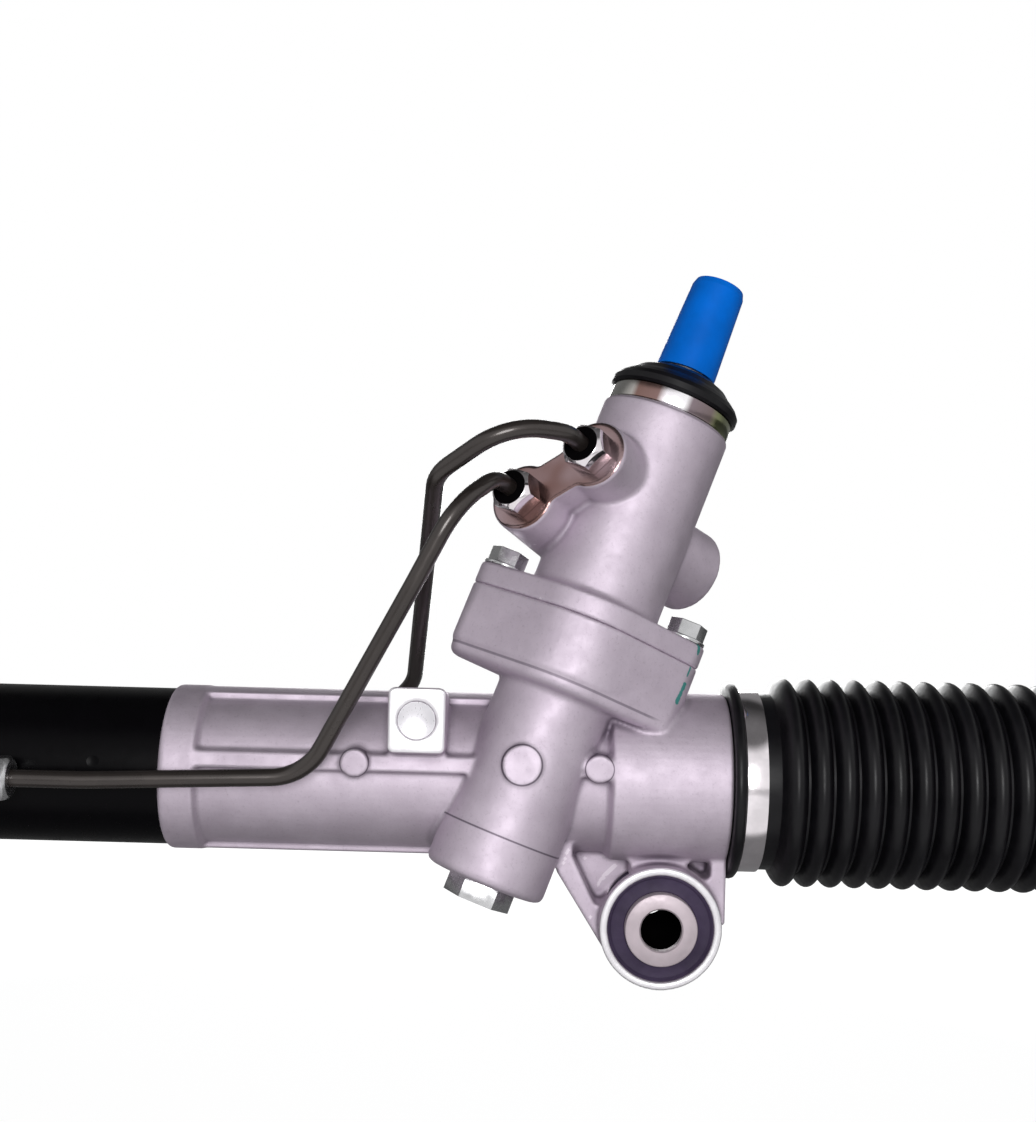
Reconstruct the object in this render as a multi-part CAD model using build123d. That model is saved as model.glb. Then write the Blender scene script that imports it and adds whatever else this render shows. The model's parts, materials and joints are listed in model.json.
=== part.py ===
from build123d import *
import math
import os

os.makedirs("parts", exist_ok=True)

# Hydraulic steering rack, in millimetres.
# X runs along the rack, Y points from the viewer to the back and Z is up.
# It is drawn about the crossing of the rack line and the pinion line, then moved so that
# the origin is the centre of the main mounting bush.

# Fits and shared allowances
running_gap = 0.05
seat_gap = 0.3
overrun = 2.0

# Rack bar and its stroke
rack_radius = 13.0
rack_travel = 70.0
stop_gap = 1.0
end_bore_depth = 26.0
rack_chamfer = 1.0

# Rack teeth and pinion
tooth_pitch = 6.0
pinion_teeth = 8
tower_tilt = 20.5
tower_lean = 9.0
pressure_angle = 20.0
rolling_line_depth = 8.9
rack_addendum = 1.0
rack_dedendum = 2.6
pinion_addendum = 2.2
pinion_dedendum = 1.4
pinion_tooth_width = 3.5
backlash = 0.15
pinion_tooth_length = 32.0

# Steel cylinder tube and what it holds
tube_radius = 27.7
tube_bore = 23.0
tube_seat_radius = 24.6
tube_seat_length = 44.0
tube_left_x = -378.0
dimple_x = -148.0
dimple_z = 6.2
dimple_radius = 4.5
dimple_depth = 0.8
bulkhead_left_x = -186.0
bulkhead_right_x = -136.0
bulkhead_groove_depth = 1.6
piston_x = -271.0
piston_width = 14.0
piston_ring_width = 4.0
piston_ring_depth = 3.0
stopper_right_x = -356.0
stopper_width = 12.0
seal_width = 7.0
seal_depth = 5.0
bush_liner_width = 5.0
bush_liner_depth = 2.0
lock_ring_width = 2.0
lock_ring_depth = 1.2

# Pipe ports on the tube
near_port_x = -190.0
far_port_x = -352.0
port_block_length = 17.0
port_block_height = 16.0
port_block_stand = 7.5
port_drill_radius = 2.0

# Cast housing
casting_left_x = -126.0
ring_length = 12.0
ring_radius = 29.1
rib_radius = 28.8
barrel_radius = 26.4
barrel_slope = 1.6
big_end_left_x = 30.0
big_end_right_x = 70.7
big_end_radius = 30.5
spigot_radius = 27.0
spigot_right_x = 84.0
spigot_bore = 22.5
spigot_bore_left_x = 52.0
housing_bore_gap = 1.2
casting_edge = 1.6
rib_width = 5.8
front_rib_z = 6.7
side_rib_width = 7.0
ejector_left_x = -58.6
ejector_right_x = 25.0
ejector_radius = 4.8
ejector_stand = 0.5

# Pinion tower, measured along its own line from the rack line
tower_radius = 21.0
tower_foot_radius = 21.3
tower_foot_s = -39.5
tower_seam_s = -22.5
tower_foot_edge = 2.5
tower_bore = 16.0
tower_pad_u = -2.4
tower_pad_s = 2.0
tower_pad_radius = 6.7
tower_pad_stand = 0.5
flange_low_s = 32.5
flange_joint_s = 56.0
flange_top_s = 64.0
flange_neck_radius = 24.5
flange_neck_height = 5.0
flange_waist_radius = 27.0
flange_end_radius = 8.2
flange_bolt_u = 34.1
flange_edge = 4.0
flange_top_edge = 1.0
flange_bolt_radius = 4.0
flange_bolt_flats = 12.0
flange_bolt_head = 5.5
flange_washer_radius = 7.6
flange_washer_height = 1.2
ring_seal_wire = 1.5
ring_seal_radius = 19.0

# Square pad with its plug
pad_x = -37.5
pad_z = 22.1
pad_width = 19.8
pad_height = 22.4
pad_face_y = -33.0
pad_root_y = -10.0
pad_slope = 3.0
pad_corner = 2.4
pad_plug_radius = 6.4
pad_plug_depth = 6.0
pad_plug_dish = 1.2

# Main mounting eye, its bush and the web that carries it
eye_x = 47.6
eye_drop = 48.2
eye_radius = 21.1
eye_bore = 18.3
eye_length = 50.0
sleeve_radius = 12.5
sleeve_bore = 7.1
sleeve_length = 54.0
rubber_length = 48.0
bush_recess_depth = 3.0
bush_recess_width = 3.2
web_left_x = 11.5
web_left_drop = 31.0
web_thickness = 34.0
web_floor = 10.0
web_rim = 5.5
web_rib_x = 40.4
web_rib_width = 8.0
web_thin_rib_x = 52.5
web_thin_rib_width = 3.0
web_eye_rim = 2.6

# Left mounting bracket on the tube
left_eye_x = -300.0
bracket_width = 44.0
bracket_wall = 4.0

# Rack guide opposite the pinion
guide_radius = 16.0
guide_front_y = 4.0
guide_back_y = 31.0
guide_pocket_radius = 10.5
guide_pocket_depth = 12.0
liner_thickness = 0.8
liner_length = 22.0
liner_angle = 52.0
guide_boss_radius = 22.0
guide_boss_y = 49.0
guide_thread_radius = 17.5
guide_cap_depth = 9.0
guide_cap_stand = 5.5
guide_cap_socket_flats = 19.0
guide_cap_socket_depth = 6.0
guide_nut_flats = 42.0
guide_nut_height = 5.0
guide_spring_wire = 2.4
guide_spring_radius = 7.6
guide_spring_turns = 3.5

# Bearings, seals and nuts on the pinion line
journal_radius = 6.0
bearing_width = 10.0
bearing_seat_s = -27.0
bearing_ball_radius = 2.9
bearing_ball_count = 8
race_wall = 2.6
pinion_thread_radius = 5.0
pinion_nut_flats = 15.0
pinion_nut_height = 6.0
plug_radius = 10.5
plug_flats = 20.6
plug_hex_height = 7.0
plug_wall = 1.5
plug_reach = 5.0
pinion_shank_radius = 10.0
needle_low_s = 24.0
needle_width = 12.0
pinion_seal_low_s = 40.0
pinion_seal_width = 7.0
pinion_head_radius = 14.0
pinion_head_low_s = 52.0
pinion_head_top_s = 74.0

# Rotary valve and input shaft
valve_housing_radius = 23.5
valve_housing_top_s = 136.0
valve_bore = 17.6
valve_sleeve_low_s = 76.0
valve_sleeve_top_s = 116.0
valve_ring_width = 2.2
valve_ring_depth = 1.6
valve_ring_count = 4
input_radius = 9.0
input_top_s = 186.0
input_head_radius = 11.5
input_spline_radius = 8.5
input_spline_low_s = 156.5
torsion_bar_radius = 3.0
torsion_head_radius = 4.2
torsion_head_length = 12.0
torsion_low_s = 30.0
torsion_top_s = 173.0
input_bearing_low_s = 121.5
input_bearing_width = 9.0
input_seal_low_s = 131.5
input_seal_width = 4.5
top_ring_radius = 22.6
top_ring_height = 6.0
top_ring_bore = 14.0
dust_cover_radius = 23.8
dust_cover_height = 12.2
dust_cover_shares = (
    (0.96, 0),
    (1, 0.07),
    (1, 0.24),
    (0.95, 0.38),
    (0.88, 0.5),
    (0.81, 0.6),
    (0.72, 0.77),
    (0.57, 0.92),
    (0.46, 1),
)
cap_low_s = 155.0
cap_top_s = 191.5
cap_low_radius = 11.1
cap_top_radius = 9.8
cap_wall = 1.0
cap_edge = 3.0

# Pipe ports on the valve housing
port_azimuth = 32.0
port_face_h = 36.5
port_boss_radius = 12.2
port_waist = 15.0
upper_port_s = 107.6
lower_port_s = 87.0
lower_port_shift = -20.5
port_root_grow = 1.5
port_edge = 1.0
port_thread_radius = 5.5
port_thread_depth = 12.0
hose_azimuth = 42.0
hose_port_s = 92.5
hose_boss_radius = 15.5
hose_face_h = 38.0
hose_thread_radius = 8.0
hose_thread_depth = 14.0
return_azimuth = 96.0
return_port_s = 110.0
return_boss_radius = 11.5
return_face_h = 34.0
return_thread_radius = 6.0

# Transfer pipes and their nuts
pipe_radius = 3.0
nut_flats = 14.0
nut_hex_height = 9.0
nut_thread_reach = 9.0
nut_corner = 0.8
pipe_reach = 7.0
near_pipe_y = -36.2
near_pipe_z = -0.4
far_pipe_y = 36.2
far_pipe_z = 4.0
pipe_lead = 18.0
near_pipe_run = 40.0
far_pipe_run = 60.0
route_size = 100.0
upper_route_shares = (
    (-0.091, -0.56, 1.207),
    (-0.324, -0.45, 1.047),
    (-0.45, 0.5, 0.2),
    (-1.18, 0.41, 0.07),
)
upper_bend_shares = (0.14, 0.22, 0.13, 0.22, 1.2, 1.2)
lower_route_shares = (
    (-0.253, -0.5, 0.945),
    (-0.385, -0.48, 0.687),
    (-0.741, -0.362, 0.026),
)
lower_bend_shares = (0.12, 0.25, 0.6, 0.2, 2.0)

# Boots
boot_bead_radius = 34.7
boot_bead_length = 4.0
boot_groove_radius = 31.3
boot_groove_length = 7.4
boot_crest_radius = 37.0
boot_pitch = 8.65
boot_folds = 20
boot_taper_folds = 7
boot_end_crest_radius = 21.0
boot_fold_depth = 5.6
boot_wall = 1.6
boot_cuff_radius = 11.2
boot_cuff_length = 12.0
boot_shoulder = 7.6
clamp_thickness = 0.8
clamp_lift = 0.1
clamp_ear_width = 5.0
clamp_ear_height = 3.0
clamp_ear_length = 7.0
clip_width = 5.0
clip_thickness = 1.4
clip_ear_height = 6.0
clip_ear_width = 1.6

# Inner ball joints and tie rods
socket_radius = 18.0
socket_length = 39.0
socket_edge = 2.0
washer_thickness = 1.6
washer_radius = 17.0
stub_radius = 7.0
stub_length = 20.0
ball_radius = 12.5
ball_from_flange = 20.0
seat_thickness = 1.4
seat_mouth = 8.0
mouth_low_radius = 9.9
mouth_high_radius = 14.6
tie_neck_radius = 6.4
tie_neck_length = 22.0
tie_rod_radius = 7.5
tie_rod_length = 290.0
tie_groove_depth = 0.6
tie_flat_width = 13.0
tie_flat_from_end = 118.0
tie_flat_length = 14.0
tie_thread_radius = 7.0
tie_thread_length = 95.0
tie_thread_depth = 0.6
tie_free_thread = 50.0
tie_chamfer = 1.2
jam_nut_flats = 22.0
jam_nut_height = 9.0

# Values that follow from the sizes above
tilt = math.radians(tower_tilt)
pinion_pitch_radius = tooth_pitch * pinion_teeth / (2 * math.pi * math.cos(tilt))
pinion_y = -(rolling_line_depth + pinion_pitch_radius)
pinion_tip_radius = pinion_pitch_radius + pinion_addendum
pinion_root_radius = pinion_pitch_radius - pinion_dedendum
housing_bore = rack_radius + housing_bore_gap
flange_stand = rack_travel + stop_gap + washer_thickness
right_flange_x = spigot_bore_left_x + flange_stand
left_flange_x = stopper_right_x - stopper_width - flange_stand
rack_right_x = right_flange_x - washer_thickness
rack_left_x = left_flange_x + washer_thickness
right_ball_x = right_flange_x + ball_from_flange
left_ball_x = left_flange_x - ball_from_flange
tube_right_x = casting_left_x + tube_seat_length
teeth_half_zone = rack_travel + pinion_tip_radius
boot_left_x = tube_left_x + boot_bead_length + boot_groove_length + seat_gap
top_ring_top_s = valve_housing_top_s + top_ring_height
guide_cap_y = guide_boss_y - guide_cap_depth
tie_pitch_radius = tie_thread_radius - tie_thread_depth

# The pinion, the rack's teeth and the guide lean back together about the rack line
pinion_side = Rot(-tower_lean, 0, 0)

# The pinion line, with its own X square to the line and Z along it
upright_tower = Plane(
    origin=(0, pinion_y, 0),
    x_dir=(math.cos(tilt), 0, -math.sin(tilt)),
    z_dir=(math.sin(tilt), 0, math.cos(tilt)),
).location
tower = pinion_side * upright_tower
to_origin = Pos(-eye_x, 0, eye_drop)


def save(name, shape):
    """Move a piece so that the main bush is the origin, and write it."""
    export_step(to_origin * shape, f"parts/{name}.step")


def x_rod(radius, start, end):
    """A round bar on the rack line."""
    bar = Cylinder(radius, end - start, align=(Align.CENTER, Align.CENTER, Align.MIN))
    return Pos(start, 0, 0) * Rot(0, 90, 0) * bar


def y_rod(radius, start, end, x, z):
    """A round bar that runs from front to back."""
    bar = Cylinder(radius, end - start, align=(Align.CENTER, Align.CENTER, Align.MIN))
    return Pos(x, start, z) * Rot(-90, 0, 0) * bar


def s_rod(radius, start, end):
    """A round bar on the pinion line, in the tower's own axes."""
    bar = Cylinder(radius, end - start, align=(Align.CENTER, Align.CENTER, Align.MIN))
    return Pos(0, 0, start) * bar


def block(x_span, y_span, z_span):
    """A box between three pairs of limits."""
    low = Pos(x_span[0], y_span[0], z_span[0])
    size = (x_span[1] - x_span[0], y_span[1] - y_span[0], z_span[1] - z_span[0])
    return low * Box(*size, align=(Align.MIN, Align.MIN, Align.MIN))


def turned_on_rack(points):
    """A piece turned about the rack line, from points of place and radius."""
    return revolve(Plane.XZ * make_face(Polyline(*points, close=True)), Axis.X)


def turned_on_tower(points):
    """A piece turned about the pinion line, from points of radius and height."""
    return revolve(Plane.XZ * make_face(Polyline(*points, close=True)), Axis.Z)


def x_ring(outer, inner, start, end):
    """A plain ring on the rack line."""
    return x_rod(outer, start, end) - x_rod(inner, start - overrun, end + overrun)


def s_ring(outer, inner, start, end):
    """A plain ring on the pinion line."""
    return s_rod(outer, start, end) - s_rod(inner, start - overrun, end + overrun)


def hexagon(flats, height):
    """A hexagonal bar that stands on its own origin."""
    return extrude(RegularPolygon(flats / 2, 6, major_radius=False), height)


def tower_point(u, y, s):
    """A place given in the tower's own axes, as a place on the rack."""
    return (tower * Pos(u, y, s)).position


def port_frame(azimuth, shift, s, height):
    """Axes of a port whose face looks away from the pinion line, in the tower's own axes."""
    turn = math.radians(azimuth)
    out = Vector(math.cos(turn), math.sin(turn), 0)
    side = Vector(-math.sin(turn), math.cos(turn), 0)
    origin = out * height + side * shift + Vector(0, 0, s)
    return Plane(origin=origin, x_dir=side, z_dir=out)


def front_port_frame(shift, s, height):
    """Axes of a pipe port on the front left of the valve housing."""
    return port_frame(270 - port_azimuth, shift, s, height)


def port_line(shift, s, height):
    """A place on the line of a front pipe port, as a place on the rack."""
    place = front_port_frame(shift, s, height).origin
    return tower_point(place.X, place.Y, place.Z)


def flange_outline():
    """The two-bolt flange seen along the pinion line."""
    rounds = Circle(flange_waist_radius)
    for side in (-1, 1):
        rounds += Pos(side * flange_bolt_u, 0) * Circle(flange_end_radius)
    return make_hull(rounds.edges())


def tangent_point(x, z, centre_x, centre_z, radius):
    """Where a line from a point on the left touches the lower left of a circle."""
    gap_x = centre_x - x
    gap_z = centre_z - z
    reach = math.hypot(gap_x, gap_z)
    turn = math.atan2(gap_z, gap_x) - math.asin(radius / reach)
    length = math.sqrt(reach**2 - radius**2)
    return x + length * math.cos(turn), z + length * math.sin(turn)


def barrel():
    """The cast barrel round the rack, from the tube's seat to the boot's spigot."""
    ring_end = casting_left_x + ring_length
    points = [
        (casting_left_x, 0),
        (casting_left_x, ring_radius - casting_edge),
        (casting_left_x + casting_edge / 3, ring_radius - casting_edge / 3),
        (casting_left_x + casting_edge, ring_radius),
        (ring_end, ring_radius),
        (ring_end + barrel_slope, barrel_radius),
        (big_end_left_x - barrel_slope, barrel_radius),
        (big_end_left_x, big_end_radius),
        (big_end_right_x, big_end_radius),
        (big_end_right_x, spigot_radius),
        (spigot_right_x - casting_edge, spigot_radius),
        (spigot_right_x, spigot_radius - casting_edge),
        (spigot_right_x, 0),
    ]
    return turned_on_rack(points)


def barrel_ribs():
    """Lengthwise ribs that stand as high as the end ring, with their round ejector pads."""
    blank = x_rod(rib_radius, casting_left_x + ring_length / 2, big_end_left_x + casting_edge)
    reach = (casting_left_x, big_end_left_x + ring_length)
    half = side_rib_width / 2
    uprights = block(reach, (-half, half), (-ring_radius, ring_radius))
    low = front_rib_z - rib_width / 2
    front = block(reach, (-ring_radius, 0), (low, low + rib_width))
    back = block(reach, (0, ring_radius), (-rib_width / 2, rib_width / 2))
    ribs = blank & (uprights + front + back)
    for x in (ejector_left_x, ejector_right_x):
        ribs += y_rod(ejector_radius, -ring_radius - ejector_stand, 0, x, front_rib_z)
    return ribs


def tower_body():
    """The pinion tower with its thick lower flange, in the tower's own axes."""
    foot = tower_foot_s
    points = [
        (0, foot),
        (tower_foot_radius - tower_foot_edge, foot),
        (tower_foot_radius - tower_foot_edge / 4, foot + tower_foot_edge / 3),
        (tower_foot_radius, foot + tower_foot_edge),
        (tower_foot_radius, tower_seam_s),
        (tower_radius, tower_seam_s + tower_foot_radius - tower_radius),
        (tower_radius, flange_low_s - flange_neck_height),
        (flange_neck_radius, flange_low_s),
        (flange_neck_radius, flange_joint_s),
        (0, flange_joint_s),
    ]
    flange = Pos(0, 0, flange_low_s) * extrude(flange_outline(), flange_joint_s - flange_low_s)
    flange = fillet(flange.faces().sort_by(Axis.Z)[0].edges(), flange_edge)
    pad_y = -tower_radius - tower_pad_stand
    pad = y_rod(tower_pad_radius, pad_y, 0, tower_pad_u, tower_pad_s)
    return turned_on_tower(points) + flange + pad


def eye_web():
    """The pocketed web between the barrel and the main mounting eye."""
    touch = tangent_point(web_left_x, -web_left_drop, eye_x, -eye_drop, eye_radius)
    right = big_end_right_x
    outline = [
        (web_left_x, 0),
        (web_left_x, -web_left_drop),
        touch,
        (eye_x, -eye_drop),
        (right, -eye_drop),
        (right, 0),
    ]
    half = web_thickness / 2
    web = Pos(0, half, 0) * extrude(Plane.XZ * make_face(Polyline(*outline, close=True)), web_thickness)
    inner = [
        (web_left_x + web_rim, -rack_radius),
        (web_left_x + web_rim, -web_left_drop + web_rim),
        (touch[0] + web_rim, touch[1] + web_rim),
        (eye_x, -eye_drop),
        (right - web_rim, -eye_drop),
        (right - web_rim, -rack_radius),
    ]
    pocket = make_face(Polyline(*inner, close=True))
    pocket -= Pos(eye_x, -eye_drop) * Circle(eye_radius + web_eye_rim)
    for x, width in ((web_rib_x, web_rib_width), (web_thin_rib_x, web_thin_rib_width)):
        pocket -= Pos(x, -eye_drop / 2) * Rectangle(width, eye_drop)
    depth = half - web_floor / 2
    front = Pos(0, -half + depth, 0) * extrude(Plane.XZ * pocket, depth + overrun)
    back = Pos(0, half + overrun, 0) * extrude(Plane.XZ * pocket, depth + overrun)
    return web - front - back


def pad_boss():
    """The square machined pad on the front of the barrel."""
    face = Pos(pad_x, pad_z, -pad_face_y) * RectangleRounded(pad_width, pad_height, pad_corner)
    root = Pos(pad_x, pad_z - pad_slope, -pad_root_y) * RectangleRounded(pad_width, pad_height, pad_corner)
    return loft([Plane.XZ * root, Plane.XZ * face])


def rack_housing():
    """The cast housing: barrel, ribs, pinion tower, guide boss, pad and mounting eye."""
    body = barrel() + barrel_ribs() + pad_boss() + eye_web()
    body += y_rod(eye_radius, -eye_length / 2, eye_length / 2, eye_x, -eye_drop)
    body += pinion_side * y_rod(guide_boss_radius, 0, guide_boss_y, 0, 0)
    body += tower * tower_body()
    body -= x_rod(housing_bore, casting_left_x, spigot_right_x)
    seat = tube_seat_radius + running_gap
    body -= x_rod(seat, casting_left_x - overrun, tube_right_x + running_gap)
    body -= x_rod(spigot_bore, spigot_bore_left_x, spigot_right_x + overrun)
    body -= tower * s_rod(tower_bore, bearing_seat_s, flange_joint_s + overrun)
    body -= tower * s_rod(plug_radius, tower_foot_s - overrun, bearing_seat_s + overrun)
    body -= pinion_side * y_rod(guide_radius + running_gap, 0, guide_boss_y, 0, 0)
    body -= pinion_side * y_rod(guide_thread_radius, guide_cap_y, guide_boss_y + overrun, 0, 0)
    body -= y_rod(eye_bore, -eye_length, eye_length, eye_x, -eye_drop)
    body -= y_rod(pad_plug_radius, pad_face_y - overrun, pad_face_y + pad_plug_depth, pad_x, pad_z)
    seal_seat = s_ring(
        ring_seal_radius + ring_seal_wire,
        ring_seal_radius - ring_seal_wire,
        flange_joint_s - ring_seal_wire * 2,
        flange_joint_s + overrun,
    )
    body -= tower * seal_seat
    for side in (-1, 1):
        hole = s_rod(flange_bolt_radius + running_gap, bolt_tip_s() - overrun, flange_joint_s + overrun)
        body -= tower * Pos(side * flange_bolt_u, 0, 0) * hole
    return body


def bolt_tip_s():
    """How far down the flange bolts reach."""
    return flange_joint_s - (flange_joint_s - flange_low_s - flange_edge)


def port_block(port_x, pipe_y, pipe_z):
    """A drilled steel block brazed to the tube, with its pipe port facing right."""
    side = math.copysign(1, pipe_y)
    inner = side * (tube_bore + tube_radius) / 2
    outer = pipe_y + side * port_block_stand
    low, high = sorted((inner, outer))
    left = port_x - port_block_length / 2
    half = port_block_height / 2
    body = block((left, left + port_block_length), (low, high), (pipe_z - half, pipe_z + half))
    return fillet(body.edges().filter_by(Axis.X).group_by(Axis.Y)[0 if side < 0 else -1], half / 3)


def port_hole(port_x, pipe_y, pipe_z):
    """The threaded mouth of a tube port and the drilling into the cylinder."""
    face = port_x + port_block_length / 2
    hole = Pos(0, pipe_y, pipe_z) * x_rod(port_thread_radius, face - nut_thread_reach, face + overrun)
    low, high = sorted((0, pipe_y))
    return hole + y_rod(port_drill_radius, low, high, port_x, pipe_z)


def cylinder_tube():
    """The painted steel tube, with its brazed port blocks and the crimp over the bulkhead."""
    points = [
        (tube_left_x, 0),
        (tube_left_x, tube_radius),
        (casting_left_x - running_gap, tube_radius),
        (casting_left_x - running_gap, tube_seat_radius),
        (tube_right_x, tube_seat_radius),
        (tube_right_x, 0),
    ]
    body = turned_on_rack(points)
    ports = ((near_port_x, near_pipe_y, near_pipe_z), (far_port_x, far_pipe_y, far_pipe_z))
    for port in ports:
        body += port_block(*port)
    body -= x_rod(tube_bore, tube_left_x - overrun, tube_right_x + overrun)
    for port in ports:
        body -= port_hole(*port)
    dent = Sphere(dimple_radius * 2)
    depth = tube_radius + dimple_radius * 2 - dimple_depth
    return body - Pos(dimple_x, -depth, dimple_z) * dent


def bulkhead():
    """The steel sleeve that closes the near end of the cylinder and holds its seal."""
    outer = tube_bore - running_gap
    inner = rack_radius + running_gap
    body = x_ring(outer, inner, bulkhead_left_x, bulkhead_right_x)
    groove = x_ring(
        tube_bore + overrun,
        outer - bulkhead_groove_depth,
        dimple_x - dimple_radius,
        dimple_x + dimple_radius,
    )
    seat = x_rod(inner + seal_depth, bulkhead_left_x - overrun, bulkhead_left_x + seal_width)
    return body - groove - seat


def rack_seal(left):
    """A lip seal that rides on the rack bar."""
    bore = rack_radius + running_gap
    rim = bore + seal_depth - running_gap
    points = [
        (left, bore),
        (left, rim),
        (left + seal_width, rim),
        (left + seal_width, bore + seal_depth / 2),
        (left + seal_width / 2, bore + seal_depth / 2),
        (left + seal_width / 3, bore),
    ]
    return turned_on_rack(points)


def end_stopper():
    """The screwed plug at the far end of the cylinder, which guides the rack bar."""
    left = stopper_right_x - stopper_width
    bore = rack_radius + running_gap
    body = x_ring(tube_bore - running_gap, bore, left, stopper_right_x)
    body -= x_rod(bore + seal_depth, stopper_right_x - seal_width, stopper_right_x + overrun)
    return body - x_rod(bore + bush_liner_depth, left - overrun, left + bush_liner_width)


def rack_end_bush():
    """The plastic bush inside the end stopper."""
    left = stopper_right_x - stopper_width
    bore = rack_radius + running_gap
    return x_ring(bore + bush_liner_depth - running_gap, bore, left, left + bush_liner_width - running_gap)


def stopper_lock_ring():
    """The sprung ring that holds the end stopper, open at the bottom."""
    right = stopper_right_x - stopper_width - running_gap
    outer = tube_bore - running_gap
    ring = x_ring(outer, outer - lock_ring_depth * 2, right - lock_ring_width, right)
    gap = lock_ring_width * 2
    return ring - block((right - gap, right + gap), (-gap, gap), (-tube_radius, 0))


def bush_sleeve(x):
    """The steel sleeve of a mounting bush."""
    half = sleeve_length / 2
    body = y_rod(sleeve_radius, -half, half, x, -eye_drop)
    return body - y_rod(sleeve_bore, -sleeve_length, sleeve_length, x, -eye_drop)


def bush_rubber(x):
    """The rubber ring of a mounting bush, with a shallow moulded groove in each face."""
    half = rubber_length / 2
    body = y_rod(eye_bore, -half, half, x, -eye_drop)
    body -= y_rod(sleeve_radius, -rubber_length, rubber_length, x, -eye_drop)
    middle = (eye_bore + sleeve_radius) / 2
    spread = bush_recess_width / 2
    for face in (-1, 1):
        start, end = sorted((face * (half - bush_recess_depth), face * (half + overrun)))
        ring = y_rod(middle + spread, start, end, x, -eye_drop)
        body -= ring - y_rod(middle - spread, start - overrun, end + overrun, x, -eye_drop)
    return body


def left_mount_bracket():
    """The steel saddle and eye on the tube that hold the left mounting bush."""
    half = bracket_width / 2
    saddle_radius = tube_radius + bracket_wall
    saddle = x_rod(saddle_radius, left_eye_x - half, left_eye_x + half)
    shoulder = [
        (left_eye_x - half, 0),
        (left_eye_x - eye_radius, -eye_drop),
        (left_eye_x + eye_radius, -eye_drop),
        (left_eye_x + half, 0),
    ]
    plate = extrude(Plane.XZ * make_face(Polyline(*shoulder, close=True)), web_thickness / 2, both=True)
    eye = y_rod(eye_radius, -eye_length / 2, eye_length / 2, left_eye_x, -eye_drop)
    body = saddle + plate + eye
    body -= x_rod(tube_radius + running_gap, left_eye_x - bracket_width, left_eye_x + bracket_width)
    body -= y_rod(eye_bore, -eye_length, eye_length, left_eye_x, -eye_drop)
    clear = block(
        (left_eye_x - bracket_width, left_eye_x + bracket_width),
        (-saddle_radius * 2, saddle_radius * 2),
        (dimple_z + port_block_height, saddle_radius * 2),
    )
    return body - clear


def rack_guide():
    """The sprung block that presses the rack bar against the pinion."""
    saddle = rack_radius + running_gap + liner_thickness
    body = y_rod(guide_radius, guide_front_y, guide_back_y, 0, 0)
    body -= x_rod(saddle, -guide_radius * 2, guide_radius * 2)
    pocket_y = guide_back_y - guide_pocket_depth
    return pinion_side * (body - y_rod(guide_pocket_radius, pocket_y, guide_back_y + overrun, 0, 0))


def guide_liner():
    """The slippery strip between the rack guide and the bar."""
    inner = rack_radius + running_gap
    shell = x_ring(inner + liner_thickness, inner, -liner_length / 2, liner_length / 2)
    reach = (inner + liner_thickness) * 2
    turn = math.radians(liner_angle)
    edge = reach * math.cos(turn)
    spread = reach * math.sin(turn)
    wedge = [(0, 0), (edge, spread), (edge, -spread)]
    liner = shell & extrude(Plane.YZ * make_face(Polyline(*wedge, close=True)), liner_length, both=True)
    return pinion_side * liner


def guide_spring():
    """The coil spring behind the rack guide."""
    start = guide_back_y - guide_pocket_depth + guide_spring_wire / 2 + running_gap
    end = guide_cap_y - guide_spring_wire / 2 - running_gap
    path = Helix(pitch=(end - start) / guide_spring_turns, height=end - start, radius=guide_spring_radius)
    wire = Plane(origin=path @ 0, z_dir=path % 0) * Circle(guide_spring_wire / 2)
    return pinion_side * Pos(0, start, 0) * Rot(-90, 0, 0) * sweep(wire, path=path)


def guide_cap():
    """The threaded cap behind the guide's spring, with a hexagonal socket."""
    top = guide_boss_y + guide_cap_stand
    body = y_rod(guide_thread_radius - running_gap, guide_cap_y, top, 0, 0)
    socket = hexagon(guide_cap_socket_flats, guide_cap_socket_depth + overrun)
    return pinion_side * (body - Pos(0, top - guide_cap_socket_depth, 0) * Rot(-90, 0, 0) * socket)


def guide_lock_nut():
    """The thin nut that locks the guide's cap."""
    body = Pos(0, guide_boss_y, 0) * Rot(-90, 0, 0) * hexagon(guide_nut_flats, guide_nut_height)
    return pinion_side * (body - y_rod(guide_thread_radius, 0, guide_boss_y * 2, 0, 0))


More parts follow.
